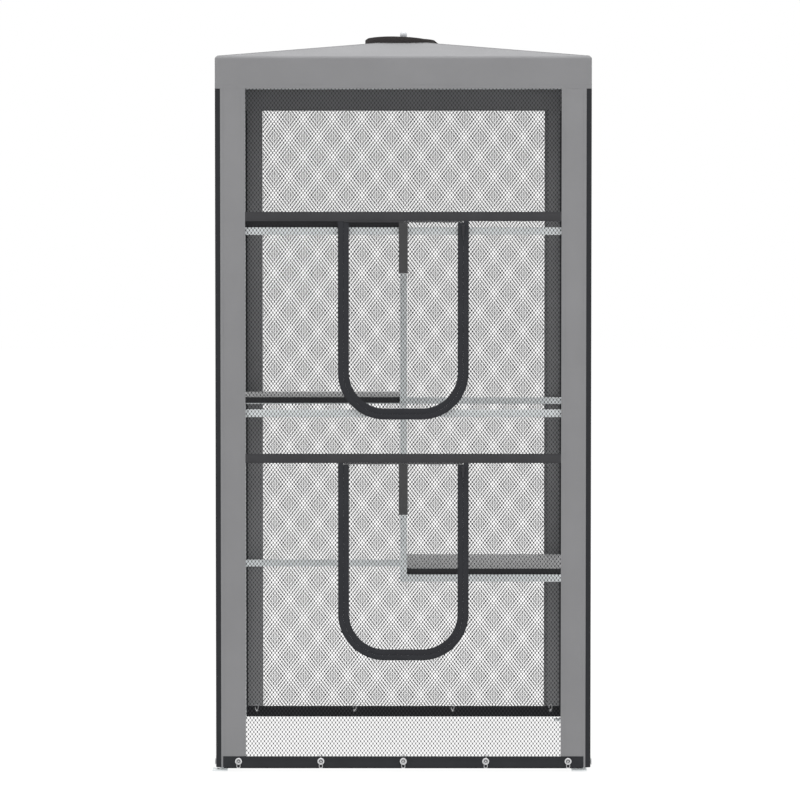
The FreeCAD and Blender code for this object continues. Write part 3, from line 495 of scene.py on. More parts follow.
def round_edges(shape, radius, steps):
    """Rounds the sharp edges."""
    sharp = [edge for edge in shape.edges if edge.is_manifold and edge.calc_face_angle() > SHARP]
    bmesh.ops.bevel(
        shape, geom=sharp, offset=radius, segments=steps, profile=0.5, affect="EDGES", clamp_overlap=True
    )
    return shape


def dressed(node, radius, finishes, body=BODY, steps=2):
    """A node's own shape with rounded edges and a finish."""
    shape = round_edges(cad_copy(node), radius, steps)
    return add_piece("dressed_" + node, shape, finishes, [node], body)


def solid_boxes(node):
    """Lowest and highest corner of each separate solid in a node."""
    shape = cad_copy(node)
    left = set(shape.verts)
    boxes = []
    while left:
        grown = [left.pop()]
        points = []
        while grown:
            vert = grown.pop()
            points.append(vert.co.copy())
            near = {edge.other_vert(vert) for edge in vert.link_edges} & left
            left -= near
            grown += near
        boxes.append([Vector(pick(point[i] for point in points) for i in range(3)) for pick in (min, max)])
    shape.free()
    return boxes


def loft(shape, rings, closed=True, loop=False):
    """Skins a row of rings with quads."""
    rows = [[shape.verts.new(point) for point in ring] for ring in rings]
    for first, second in zip(rows, rows[1:] + (rows[:1] if loop else [])):
        count = len(first)
        for i in range(count if closed else count - 1):
            j = (i + 1) % count
            shape.faces.new((first[i], first[j], second[j], second[i]))
    return rows


def solid_loft(shape, rings):
    """Skins a row of rings and closes both ends."""
    rows = loft(shape, rings)
    shape.faces.new(rows[0])
    shape.faces.new(reversed(rows[-1]))
    bmesh.ops.recalc_face_normals(shape, faces=shape.faces)


def ring_at(outline, middle, axis, along):
    """An outline set squarely on an axis through middle, at a place along it."""
    across = [i for i in range(3) if i != axis]
    ring = []
    for parts in outline:
        point = middle.copy()
        point[axis] = along
        for i, part in zip(across, parts):
            point[i] += part
        ring.append(point)
    return ring


def rod(shape, middle, axis, stations, sides):
    """A level rod through middle, with its radius at each station along its axis."""
    angles = [math.tau * step / sides for step in range(sides)]
    rings = []
    for along, radius in stations:
        circle = [(radius * math.cos(angle), radius * math.sin(angle)) for angle in angles]
        rings.append(ring_at(circle, middle, axis, along))
    solid_loft(shape, rings)


def rounded_square(half, radius, per_side):
    """Points round a square with rounded corners, anticlockwise from the left end of its front side."""
    run = half - radius
    side = [Vector((run * (2 * step / per_side - 1), -half)) for step in range(per_side)]
    for angle in spaced(-QUARTER, 0, CORNER_STEPS)[:-1]:
        side.append(Vector((run + radius * math.cos(angle), -run + radius * math.sin(angle))))
    return [Matrix.Rotation(quarter * QUARTER, 2) @ point for quarter in range(4) for point in side]


def lathe(profile, sides):
    """A shape turned about the vertical from a closed profile of (radius, height) points."""
    rings = []
    for step in range(sides):
        angle = math.tau * step / sides
        out = Vector((math.cos(angle), math.sin(angle), 0))
        rings.append([out * radius + Vector((0, 0, height)) for radius, height in profile])
    shape = bmesh.new()
    loft(shape, rings, loop=True)
    bmesh.ops.remove_doubles(shape, verts=shape.verts, dist=WELD)
    bmesh.ops.recalc_face_normals(shape, faces=shape.faces)
    return shape


def wall_turn(wall):
    """Turn about the vertical that takes the front wall to this one."""
    return Matrix.Rotation(WALLS.index(wall) * QUARTER, 4, "Z")


def level_run(half, out, up, wall="front"):
    """A level seam across a wall at a distance out from the tent's axis, with its outward direction."""
    turn = wall_turn(wall)
    return [turn @ Vector((side * half, -out, up)) for side in (-1, 1)], turn @ FORWARD


def upright_run(x, y, low, high, out):
    """An upright seam between two heights, with its outward direction."""
    return [Vector((x, y, low)), Vector((x, y, high))], out


# Node trees for what repeats

BEAN_SHOULDER = 0.3
BEAN_GIRTH = 0.8
BEAN_SHADE = 80.0


def new_tree(name, measure):
    """A geometry tree with its named inputs, one of them a measure, and the outputs of its input node."""
    tree = bpy.data.node_groups.new(name, "GeometryNodeTree")
    sockets = {"Geometry": "Geometry", "Unit": "Object", measure: "Float", "Finish": "Material"}
    for label, kind in sockets.items():
        tree.interface.new_socket(label, in_out="INPUT", socket_type="NodeSocket" + kind)
    tree.interface.new_socket("Geometry", in_out="OUTPUT", socket_type="NodeSocketGeometry")
    return tree, add_node(tree, "NodeGroupInput").outputs


def end_tree(tree, points, turn, given):
    """Sets the unit out on points, makes the instances real and gives them their finish."""
    unit = add_node(tree, "GeometryNodeObjectInfo", {"Object": given["Unit"]}).outputs["Geometry"]
    inputs = {"Points": points, "Instance": unit, "Rotation": turn}
    shape = output(tree, "GeometryNodeInstanceOnPoints", inputs)
    shape = output(tree, "GeometryNodeRealizeInstances", {0: shape})
    if "Merge" in given:
        shape = output(tree, "GeometryNodeMergeByDistance", {0: shape, "Distance": given["Merge"]})
    shape = output(tree, "GeometryNodeSetMaterial", {0: shape, "Material": given["Finish"]})
    add_node(tree, "NodeGroupOutput", {0: shape})
    return tree


def spread_tree():
    """Sets a unit out on points, each turned about the vertical by the points' own angle."""
    name = "playpen_spread"
    if name in bpy.data.node_groups:
        return bpy.data.node_groups[name]
    tree, given = new_tree(name, "Merge")
    points = output(tree, "GeometryNodeMeshToPoints", {0: given["Geometry"]})
    angle = output(tree, "GeometryNodeInputNamedAttribute", {"Name": "angle"}, data_type="FLOAT")
    turn = output(tree, "ShaderNodeCombineXYZ", {"Z": angle})
    return end_tree(tree, points, turn, given)


def path_tree():
    """Sets a unit out along paths at an even spacing, standing on the paths' own outward direction."""
    name = "playpen_along_path"
    if name in bpy.data.node_groups:
        return bpy.data.node_groups[name]
    tree, given = new_tree(name, "Spacing")
    path = output(tree, "GeometryNodeMeshToCurve", {0: given["Geometry"]})
    inputs = {"Curve": path, "Length": given["Spacing"]}
    even = output(tree, "GeometryNodeResampleCurve", inputs, mode="LENGTH")
    out = output(tree, "GeometryNodeInputNamedAttribute", {"Name": "out"}, data_type="FLOAT_VECTOR")
    along = output(tree, "GeometryNodeInputTangent")
    inputs = {"Primary Axis": along, "Secondary Axis": out}
    axes = {"primary_axis": "X", "secondary_axis": "Z"}
    turn = output(tree, "FunctionNodeAxesToRotation", inputs, **axes)
    return end_tree(tree, even, turn, given)


def grow(mesh, unit_mesh, tree, **values):
    """Runs a tree on a mesh with a unit and gives back a plain mesh."""
    unit, base = placed("unit", unit_mesh), placed("base", mesh)
    nodes = base.modifiers.new("grow", "NODES")
    nodes.node_group = tree
    values["Unit"] = unit
    for item in tree.interface.items_tree:
        if item.in_out == "INPUT" and item.name in values:
            nodes[item.identifier] = values[item.name]
    grown = evaluated(base)
    for made in (unit, base):
        data = made.data
        bpy.data.objects.remove(made)
        bpy.data.meshes.remove(data)
    grown.materials.clear()
    return grown


def point_mesh(points, angle=0.0):
    """Loose points with the angle that their units take."""
    mesh = bpy.data.meshes.new("points")
    mesh.from_pydata(points, [], [])
    mesh.attributes.new("angle", "FLOAT", "POINT").data.foreach_set("value", [angle] * len(points))
    return mesh


def path_mesh(runs):
    """Runs of points, each with its outward direction, as one mesh of edges."""
    points, edges, outs = [], [], []
    for run, out in runs:
        edges += [(len(points) + i, len(points) + i + 1) for i in range(len(run) - 1)]
        points += run
        outs += [part for _ in run for part in out]
    mesh = bpy.data.meshes.new("paths")
    mesh.from_pydata(points, edges, [])
    mesh.attributes.new("out", "FLOAT_VECTOR", "POINT").data.foreach_set("vector", outs)
    return mesh


def bean(along, across, tall):
    """A small rounded unit for a stitch or a tooth, lying along X with Z outwards."""
    mesh = bpy.data.meshes.new("bean")
    points = [(-along / 2, 0, 0), (along / 2, 0, 0)]
    for place in (-BEAN_SHOULDER, BEAN_SHOULDER):
        for y, z in ((1, 0), (0, 1), (-1, 0), (0, -1)):
            points.append((place * along, y * BEAN_GIRTH * across / 2, z * BEAN_GIRTH * tall / 2))
    faces = []
    for i in range(4):
        j = (i + 1) % 4
        faces += [(0, 2 + j, 2 + i), (2 + i, 2 + j, 6 + j, 6 + i), (1, 6 + i, 6 + j)]
    mesh.from_pydata(points, [], faces)
    return mesh


def beans(name, runs, unit, spacing, label, body):
    """A piece of small units set out along runs."""
    mesh = grow(path_mesh(runs), unit, path_tree(), Spacing=spacing, Finish=finish(label))
    add_piece(name, mesh, [label], body=body, shade=BEAN_SHADE)


def stitches(name, runs, label, body=BODY):
    """Rows of stitches along runs."""
    size = sizes()
    unit = bean(size.stitch_length, size.stitch_width, size.stitch_width)
    beans(name, runs, unit, size.stitch_pitch, label, body)


# Frame

def tube(shape, low, high):
    """A square tube with rounded long edges and open ends between two corners of its box."""
    size = sizes()
    extent = high - low
    axis = max(range(3), key=lambda i: extent[i])
    half = min(extent) / 2
    edge = size.tube_wall / 3
    bore, slim, outer = [
        rounded_square(half - inset, size.tube_corner - inset, 1) for inset in (size.tube_wall, edge, 0)
    ]
    stations = [(bore, 0), (slim, 0), (outer, edge)]
    stations += [(ring, extent[axis] - inset) for ring, inset in reversed(stations)]
    rings = [ring_at(ring, (low + high) / 2, axis, low[axis] + along) for ring, along in stations]
    loft(shape, rings, loop=True)


class PLAYPEN_OT_frame(bpy.types.Operator):
    """Square tubes, moulded joints, feet and rafters"""

    bl_idname = "playpen.frame"
    bl_label = "Frame"

    def execute(self, context):
        for node in TUBES:
            shape = bmesh.new()
            for low, high in solid_boxes(node):
                tube(shape, low, high)
            bmesh.ops.recalc_face_normals(shape, faces=shape.faces)
            add_piece("tube_" + node, shape, ["tube_steel"], [node])
        for nodes, label in ((MOULDINGS, "joint_plastic"), (ROOF_BARS, "tube_steel")):
            for node in nodes:
                dressed(node, sizes().joint_edge, [label], steps=3)
        return {"FINISHED"}


class PLAYPEN_OT_shelves(bpy.types.Operator):
    """Shelves with a dark rounded edge and felt on top"""

    bl_idname = "playpen.shelves"
    bl_label = "Shelves"

    def execute(self, context):
        for node in SHELVES:
            shape = cad_copy(node)
            middle = sum(corner.z for corner in node_box(node)) / 2
            for vert in shape.verts:
                if vert.co.z > middle:
                    vert.co.z += sizes().felt
            round_edges(shape, sizes().shelf_edge, 3)
            shelf = add_piece("dressed_" + node, shape, ["shelf_board", "shelf_felt"], [node])
            for face in shelf.data.polygons:
                face.material_index = int(face.normal.z > FACING)
        return {"FINISHED"}


# Roof

def roof_slope():
    """Fall of the roof for each metre out from the apex."""
    return (ROOF_HIGH.z - ROOF_LOW.z - sizes().cloth) / ROOF_HIGH.x


def roof_height(x, y):
    """Height of the roof cloth over a point, with the sag of its gore."""
    reach = max(abs(x), abs(y))
    share = reach / ROOF_HIGH.x
    toward_hip = min(abs(x), abs(y)) / max(reach, MM)
    drop = sizes().roof_sag * math.sin(math.pi * min(1.0, share)) * (1 - toward_hip ** 2)
    return ROOF_HIGH.z - roof_slope() * reach - drop


def eave_profile():
    """Reach and height of the cloth round the eave and down the skirt to its hem."""
    half, fold = ROOF_HIGH.x, sizes().eave_fold
    lean = math.atan(roof_slope())
    centre = half - fold
    height = ROOF_HIGH.z - roof_slope() * centre - fold / math.cos(lean)
    hem_top = SKIRT_LOW.z + SKIRT_HEM
    angles = spaced(QUARTER - lean, 0, ARC_STEPS)
    profile = [(centre + fold * math.cos(angle), height + fold * math.sin(angle)) for angle in angles]
    profile += [(half, up) for up in spaced(height, hem_top, SKIRT_STEPS)[1:]]
    profile.append((half + HEM_STEP, hem_top - HEM_STEP))
    profile.append((half + HEM_STEP, SKIRT_LOW.z + HEM_STEP))
    profile.append((half, SKIRT_LOW.z))
    return profile


def roof_cloth():
    """One sheet over the four gores, round the eaves and down the skirt."""
    size = sizes()
    rings = []
    profile = eave_profile()
    for reach in spaced(FINIAL_HIGH.x * STEM_HOLE, profile[0][0], ROOF_RINGS)[:-1]:
        ring = rounded_square(reach, min(reach / 4, size.skirt_corner / 2), ROOF_PER_SIDE)
        rings.append([Vector((point.x, point.y, roof_height(point.x, point.y))) for point in ring])
    for reach, height in profile:
        hang = max(0.0, (SKIRT_HIGH.z - height) / (SKIRT_HIGH.z - SKIRT_LOW.z))
        points = []
        for point in rounded_square(reach, size.skirt_corner, ROOF_PER_SIDE):
            place = Vector((point.x, point.y, height))
            ripple = noise.noise(place * SKIRT_WAVES) * SKIRT_RIPPLE * hang
            out = Vector((place.x, place.y, 0)).normalized()
            points.append(place + out * min(ripple, 0.0))
        rings.append(points)
    shape = bmesh.new()
    loft(shape, rings)
    bmesh.ops.reverse_faces(shape, faces=shape.faces)
    nodes = ["roof_gores", "roof_skirt"]
    cloth = add_piece("roof_cloth", shape, CLOTH, nodes, shade=ROOF_SHADE, thickness=size.cloth)


def hip_points(offset, lift):
    """Points of the four hips from the apex to the eave, offset to one side, with their way out."""
    half = ROOF_HIGH.x - sizes().eave_fold
    hips = []
    for wall in WALLS:
        run = []
        for reach in spaced(HIP_START, half, HIP_STEPS):
            x, y = reach + offset / 2, reach - offset / 2
            run.append(wall_turn(wall) @ Vector((x, y, roof_height(x, y) + lift)))
        hips.append((run, (0, 0, 1)))
    return hips


def finial_profile():
    """Radius and height of the stem and ball, from the foot of the stem to the top of the ball."""
    ball = (FINIAL_HIGH.x - FINIAL_LOW.x) / 2
    stem = ball * STEM_SHARE
    centre = FINIAL_HIGH.z - ball
    profile = [(0, FINIAL_LOW.z), (stem, FINIAL_LOW.z)]
    for angle in spaced(math.asin(stem / ball), math.pi, BALL_STEPS):
        profile.append((ball * math.sin(angle), centre - ball * math.cos(angle)))
    return profile


class PLAYPEN_OT_roof(bpy.types.Operator):
    """Roof cloth with its skirt, hip tapes, webbing loop and finial"""

    bl_idname = "playpen.roof"
    bl_label = "Roof"

    def execute(self, context):
        size = sizes()
        roof_cloth()
        shape = bmesh.new()
        reach = size.hip_tape / 2 * math.sqrt(2)
        strips = [hip_points(share * reach, HIP_LIFT) for share in spaced(-1, 1, 4)]
        for hip in range(4):
            loft(shape, [strip[hip][0] for strip in strips], closed=False)
        bmesh.ops.reverse_faces(shape, faces=shape.faces)
        add_piece("hip_tapes", shape, CLOTH, shade=SOFT_SHADE, thickness=size.cloth / 2)
        runs = [run for side in (-1, 1) for run in hip_points(side * HIP_SEAM * reach, HIP_SEAM_LIFT)]
        stitches("hip_stitches", runs, "thread")
        half, up = ROOF_HIGH.x - size.skirt_corner, SKIRT_LOW.z + SKIRT_HEM - SEAM_INSET
        runs = [level_run(half, ROOF_HIGH.x + HEM_STEP, up, wall) for wall in WALLS]
        stitches("skirt_stitches", runs, "thread")
        dressed("roof_loop", LOOP_EDGE, ["loop_webbing"], "roof_loop")
        finial = lathe(finial_profile(), BALL_SIDES)
        add_piece("roof_finial", finial, ["finial_plastic"], ["finial"], shade=SOFT_SHADE)
        return {"FINISHED"}


# Cover

def column(name, side, face):
    """A cloth column beside the net, with a strip that goes on down past the hem."""
    size = sizes()
    outer = COLUMN_HIGH.x
    inner = outer - size.column_width
    tongue = outer - size.column_tongue
    ups = [COLUMN_LOW.z, (COLUMN_LOW.z + HEM_HIGH.z) / 2] + spaced(HEM_HIGH.z, COLUMN_HIGH.z, COLUMN_ROWS)
    grid = []
    for up in ups:
        row = []
        for reach in spaced(inner, tongue, COLUMN_STEPS) + [outer]:
            share = (reach - inner) / size.column_width
            swell = math.sin(math.pi * share) * noise.noise(Vector((side * reach, face, up)) * COLUMN_WAVES)
            out = -COLUMN_LOW.y - max(0.0, swell) * COLUMN_RIPPLE
            row.append(Vector((side * reach, face * out, up)))
        grid.append(row)
    shape = bmesh.new()
    loft(shape, grid, closed=False)
    middles = {quad: quad.calc_center_median() for quad in shape.faces}
    below = [quad for quad, at in middles.items() if at.z < HEM_HIGH.z and abs(at.x) < tongue]
    bmesh.ops.delete(shape, geom=below, context="FACES")
    if side * face > 0:
        bmesh.ops.reverse_faces(shape, faces=shape.faces)
    node = "front_columns" if face < 0 else "back_columns"
    made = add_piece(name, shape, CLOTH, [node], shade=SOFT_SHADE, thickness=size.cloth)
    area = size.column_width * (COLUMN_HIGH.z - HEM_HIGH.z)
    area += size.column_tongue * (HEM_HIGH.z - COLUMN_LOW.z)


def binding_section(inset):
    """Outline of the webbing angle at the right-hand back corner, drawn in by inset."""
    size = sizes()
    x, y, bend = BINDING_HIGH.x - inset, BINDING_HIGH.y - inset, size.binding_corner
    sides = []
    for depth in (0.0, size.cloth):
        radius = bend - depth
        points = [Vector((BINDING_HIGH.x - size.binding_width, y - depth))]
        for angle in spaced(QUARTER, 0, ARC_STEPS):
            points.append(Vector((x - bend + radius * math.cos(angle), y - bend + radius * math.sin(angle))))
        points.append(Vector((x - depth, BINDING_HIGH.y - size.binding_width)))
        sides.append(points)
    return sides[0] + sides[1][::-1]


def bindings():
    """Webbing angles round the four upright corners, tucked in at their lower ends."""
    tuck = BINDING_TUCK
    heights = [tuck * (1 - math.cos(angle)) for angle in spaced(0, QUARTER, TUCK_STEPS)]
    heights += spaced(tuck, BINDING_HIGH.z - BINDING_LOW.z, BINDING_ROWS)[1:]
    shape = bmesh.new()
    for x_side in (-1, 1):
        for y_side in (-1, 1):
            rings = []
            for up in heights:
                short = max(0.0, tuck - up)
                section = binding_section(tuck - math.sqrt(tuck ** 2 - short ** 2))
                rings.append([Vector((x_side * p.x, y_side * p.y, BINDING_LOW.z + up)) for p in section])
            solid_loft(shape, rings)
    add_piece("bindings", shape, ["upright_webbing"], ["corner_bindings"])


class PLAYPEN_OT_cover(bpy.types.Operator):
    """Cloth columns and webbing bindings of the four corners"""

    bl_idname = "playpen.cover"
    bl_label = "Columns and Bindings"

    def execute(self, context):
        size = sizes()
        runs = []
        inner = COLUMN_HIGH.x - size.column_width
        seams = [inner + inset for inset in COLUMN_SEAMS]
        seams.append(COLUMN_HIGH.x - size.column_tongue - SEAM_INSET)
        for face, depth in ((-1, "front"), (1, "back")):
            for side, hand in ((-1, "left"), (1, "right")):
                column(f"{depth}_{hand}_column", side, face)
                for reach in seams:
                    ends = (HEM_HIGH.z + SEAM_INSET, COLUMN_HIGH.z)
                    runs.append(upright_run(side * reach, face * -COLUMN_LOW.y, *ends, (0, face, 0)))
        stitches("column_stitches", runs, "thread")
        bindings()
        runs = []
        along = BINDING_HIGH.y - size.binding_width + BINDING_SEAM
        for side in (-1, 1):
            for y in (-along, along):
                ends = (HEM_HIGH.z, BINDING_HIGH.z)
                runs.append(upright_run(side * BINDING_HIGH.x, y, *ends, (side, 0, 0)))
        stitches("binding_stitches", runs, "dark_thread")
        return {"FINISHED"}


# Nets

def wedge(first, second, half_first, half_second):
    """Inner corner between two strands that leave a knot along these directions."""
    return (first * half_second + second * half_first) / abs(first.x * second.y - first.y * second.x)


def net_unit():
    """One cell of the net: a knitted pillar and the two strands that climb from it."""
    size = sizes()
    thin, thick = size.net_strand / 2, size.net_pillar / 2
    upright = (size.net_row - size.net_slant) / 2
    climb = Vector((size.net_pitch / 2, size.net_slant))
    up = Vector((0, 1))
    right = climb.normalized()
    left = Vector((-right.x, right.y))
    top = Vector((-size.net_pitch / 2, upright))
    low = Vector((-size.net_pitch / 2, -upright))
    top_right, top_left = wedge(-up, right, thick, thin), wedge(-up, left, thick, thin)
    low_right, low_left = wedge(up, -left, thick, thin), wedge(up, -right, thick, thin)
    top_mid, low_mid = wedge(left, right, thin, thin), wedge(-left, -right, thin, thin)
    far_right = low + Vector((climb.x, size.net_row))
    far_left = low + Vector((-climb.x, size.net_row))
    faces = [
        (top + top_left, low + low_left, low + low_mid, low + low_right, top + top_right, top + top_mid),
        (top + top_right, far_right + low_mid, far_right + low_left, top + top_mid),
        (top + top_mid, far_left + low_right, far_left + low_mid, top + top_left),
    ]
    shape = bmesh.new()
    for face in faces:
        shape.faces.new([shape.verts.new((point.x, 0, point.y)) for point in face])
    bmesh.ops.remove_doubles(shape, verts=shape.verts, dist=WELD)
    return baked(shape, "net_unit")


def net_cells(half, low, high, keep=lambda x, z: True):
    """Middles of the cells of a wall's net between two heights, in the front wall's own plane."""
    size = sizes()
    cells = []
    for row in range(math.ceil(low / size.net_row), math.floor(high / size.net_row) + 1):
        shift = size.net_pitch / 2 * (row % 2)
        count = math.floor((half - shift) / size.net_pitch)
        for cell in range(-count - row % 2, count + 1):
            x, z = cell * size.net_pitch + shift, row * size.net_row
            if keep(x, z):
                cells.append(Vector((x, NET_PLANE, z)))
    return cells


def net(name, cells, nodes, wall="front", body=BODY):
    """A net of knitted cells on a wall."""
    mesh = grow(point_mesh(cells), net_unit(), spread_tree(), Merge=NET_WELD, Finish=finish("netting"))
    mesh.transform(wall_turn(wall))
    add_piece(name, mesh, ["netting"], nodes, body, shade=None)


def door_u(door, inset):
    """Half width, bottom and bend radius of a line that runs inside the outer edge of a door's zip."""
    low, high = node_box(door + "_frame_tape")
    return high.x - inset, low.z + inset, sizes().zip_radius - inset


def door_top(door):
    """Height of the line that a door hangs from."""
    return node_box(door + "_door")[1].z


def inside_u(x, z, half, low, radius):
    """Whether a point of the front wall lies inside a U."""
    if abs(x) > half or z < low:
        return False
    across = abs(x) - (half - radius)
    down = low + radius - z
    return across <= 0 or down <= 0 or math.hypot(across, down) <= radius


def beside_doors(x, z):
    """Whether a point of the front wall lies outside both doors."""
    tuck = sizes().net_tuck
    return not any(inside_u(x, z, *door_u(door, tuck)) for door in DOORS if z < door_top(door))


class PLAYPEN_OT_nets(bpy.types.Operator):
    """Net walls, in three heights on the front and two on the other walls"""

    bl_idname = "playpen.nets"
    bl_label = "Nets"

    def execute(self, context):
        tuck = sizes().net_tuck
        floor_line = SIDE_NET_LOW.z - tuck
        top_line = FRONT_NET_HIGH.z
        middle = (floor_line + top_line) / 2
        for wall in WALLS[1:]:
            half = SIDE_NET_HIGH.y if wall in ("left", "right") else FRONT_NET_HIGH.x
            net(f"{wall}_net_below", net_cells(half, floor_line, middle), [wall + "_net"], wall)
            net(f"{wall}_net_above", net_cells(half, middle + MM, top_line), [wall + "_net"], wall)
        half = FRONT_NET_HIGH.x
        upper, lower = [node_box(door + "_door_band") for door in DOORS]
        net("front_net_top", net_cells(half, FRONT_NET_LOW.z, top_line), ["front_top_net"])
        cells = net_cells(half, lower[1].z - tuck, upper[0].z + tuck, beside_doors)
        net("front_net_middle", cells, ["front_middle_net"])
        cells = net_cells(half, floor_line, lower[0].z + tuck, beside_doors)
        net("front_net_bottom", cells, ["front_bottom_net"])
        return {"FINISHED"}


# Hem, eyelets and hooks

def turned(profile):
    """A ring turned about the axis along Y from a closed profile of (radius, depth) points."""
    shape = lathe(profile, EYELET_SIDES)
    bmesh.ops.rotate(shape, verts=shape.verts, cent=(0, 0, 0), matrix=Matrix.Rotation(QUARTER, 3, "X"))
    return baked(shape, "ring")


def eyelet_unit():
    """A rolled eyelet through the front hem, centred on the origin with its axis along Y."""
    flange = (EYELET_HIGH.z - EYELET_LOW.z) / 2
    hole = flange * EYELET_HOLE
    face = -HEM_LOW.y - HEM_MIDDLE
    proud = (-EYELET_LOW.y + HEM_LOW.y) * EYELET_CROWN
    roll = (flange - hole) / 2
    angles = spaced(0, math.pi, ARC_STEPS)
    front = [(hole + roll * (1 - math.cos(angle)), face + proud * math.sin(angle)) for angle in angles]
    return turned(front + [(radius, -depth) for radius, depth in reversed(front)])


def shade_washer_unit():
    """A dark washer inside an eyelet, painted shade that fills the hole, with a bore for the hook's wire."""
    hole = (EYELET_HIGH.z - EYELET_LOW.z) / 2 * EYELET_HOLE
    half = WASHER / 2
    return turned([(WASHER_BORE, -half), (hole, -half), (hole, half), (WASHER_BORE, half)])


def hook_unit():
    """A wire hook through an eyelet: one loop hangs outside and one stands inside."""
    size = sizes()
    half = (size.hook_width - size.hook_wire) / 2
    drop = (HOOK_HIGH.z - HOOK_LOW.z) / 2 - size.hook_wire / 2
    depth = -HOOK_LOW.y - HEM_MIDDLE - size.hook_wire / 2
    outside = [Vector((half * x, -depth, -drop * z)) for x, z in HOOK_BEND]
    points = outside + [Vector((0, 0, 0))] + [-point for point in reversed(outside)]
    curve = bpy.data.curves.new("hook", "CURVE")
    curve.dimensions = "3D"
    spline = curve.splines.new("NURBS")
    spline.points.add(len(points) - 1)
    for control, point in zip(spline.points, points):
        control.co = (*point, 1.0)
    spline.order_u = 4
    spline.use_endpoint_u = True
    spline.resolution_u = 4
    curve.bevel_depth = size.hook_wire / 2
    curve.bevel_resolution = 2
    curve.use_fill_caps = True
    bent = placed("hook", curve)
    mesh = evaluated(bent)
    bpy.data.objects.remove(bent)
    bpy.data.curves.remove(curve)
    return mesh


def eyelet_places():
    """Middles of the eyelets in each wall."""
    places = {wall: [] for wall in WALLS}
    for low, high in solid_boxes("eyelets"):
        middle = (low + high) / 2
        if abs(middle.y) > abs(middle.x) and abs(middle.y) > HEM_MIDDLE - MM:
            wall = "front" if middle.y < 0 else "back"
        else:
            wall = "left" if middle.x < 0 else "right"
        places[wall].append(middle)
    return places


def hem_edges():
    """A dark rolled edge along the bottom of each hem, coloured as painted shade under the hem."""
    shape = bmesh.new()
    for low, high in solid_boxes("bottom_hems"):
        along = 0 if high.x - low.x > high.y - low.y else 1
        middle = (low + high) / 2
        middle.z = low.z - HEM_EDGE_DROP
        stations = [(end, HEM_EDGE) for end in (low[along] + HEM_EDGE, high[along] - HEM_EDGE)]
        rod(shape, middle, along, stations, HEM_EDGE_SIDES)
    add_piece("hem_edges", shape, ["hem_lining"], shade=SOFT_SHADE)


class PLAYPEN_OT_hems(bpy.types.Operator):
    """Dark hems with eyelets and wire hooks"""

    bl_idname = "playpen.hems"
    bl_label = "Hems, Eyelets and Hooks"

    def execute(self, context):
        hems = dressed("bottom_hems", HEM_CORNER, ["level_webbing", "hem_lining"], steps=3)
        # Inward faces take the darker second finish, which is painted shade inside the tent
        for face in hems.data.polygons:
            inward = face.normal.x * face.center.x + face.normal.y * face.center.y
            face.material_index = int(inward < -FACING * HEM_MIDDLE)
        runs = []
        for wall in WALLS:
            reach = COLUMN_HIGH.x - sizes().column_tongue if wall in ("front", "back") else SIDE_NET_HIGH.y
            for up in (HEM_LOW.z + SEAM_INSET, HEM_HIGH.z - HEM_TOP_SEAM):
                runs.append(level_run(reach - HEM_SEAM_END, -HEM_LOW.y, up, wall))
        stitches("hem_stitches", runs, "dark_thread")
        hem_edges()
        places = eyelet_places()
        for wall in WALLS:
            angle = WALLS.index(wall) * QUARTER
            hooks = wall + "_hooks"
            for name, unit, label, nodes, body in (
                ("wire_" + hooks, hook_unit(), "wire_metal", [hooks], hooks),
                (wall + "_eyelets", eyelet_unit(), "bright_metal", ["eyelets"], BODY),
                (wall + "_eyelet_washers", shade_washer_unit(), "washer_metal", [], BODY),
            ):
                points = point_mesh(places[wall], angle)
                mesh = grow(points, unit, spread_tree(), Merge=0.0, Finish=finish(label))
                add_piece(name, mesh, [label], nodes, body, HARDWARE_SHADE)
        return {"FINISHED"}


# Doors

def zip_line(door, inset, plane, lead=0.0):
    """Points down one leg of a door's zip, round its bottom and up the other, inside its outer edge."""
    half, low, radius = door_u(door, inset)
    left = [Vector((-half, plane, node_box(door + "_door_tape")[1].z - lead))]
    for angle in spaced(0, QUARTER, BEND_STEPS):
        across = radius * (1 - math.cos(angle)) - half
        left.append(Vector((across, plane, low + radius * (1 - math.sin(angle)))))
    return left + [Vector((-point.x, plane, point.z)) for point in reversed(left)]


def tapes_width(door):
    """Distance from the outer edge of a zip to the inner edge of the door's tape."""
    return node_box(door + "_door_tape")[0].z - node_box(door + "_frame_tape")[0].z + sizes().zip_tape


def door_band(door):
    """The band over a door, with the seams along it and along the zip's outer tape."""
    dressed(door + "_door_band", BAND_EDGE, ["band_webbing"])
    low, high = node_box(door + "_door_band")
    ups = (low.z + SEAM_INSET, high.z - SEAM_INSET)
    runs = [level_run(high.x - BAND_SEAM_END, -low.y, up) for up in ups]
    runs.append((zip_line(door, SEAM_INSET, node_box(door + "_frame_tape")[0].y), FORWARD))
    stitches(door + "_band_stitches", runs, "dark_thread")


def zip_row(name, door, inset, lead, body):
    """Teeth along one tape of a door's zip."""
    low, high = node_box(door + "_door_tape")
    line = zip_line(door, inset, (low.y + high.y) / 2, lead)
    beans(name, [(line, FORWARD)], bean(*TOOTH), sizes().tooth_pitch, "zip_teeth", body)


def zip_lip(name, door, inset, width, body):
    """A cord sewn along the edge of one tape, which closes its half of the gap between the tapes."""
    low, high = node_box(door + "_door_tape")
    front, back = [low.y + (high.y - low.y) * depth for depth in LIP_DEPTHS]
    corners = ((0, front), (width, front), (width, back), (0, back))
    lines = [zip_line(door, inset + across, plane) for across, plane in corners]
    shape = bmesh.new()
    solid_loft(shape, list(zip(*lines)))
    add_piece(name, shape, ["zip_tape"], body=body)


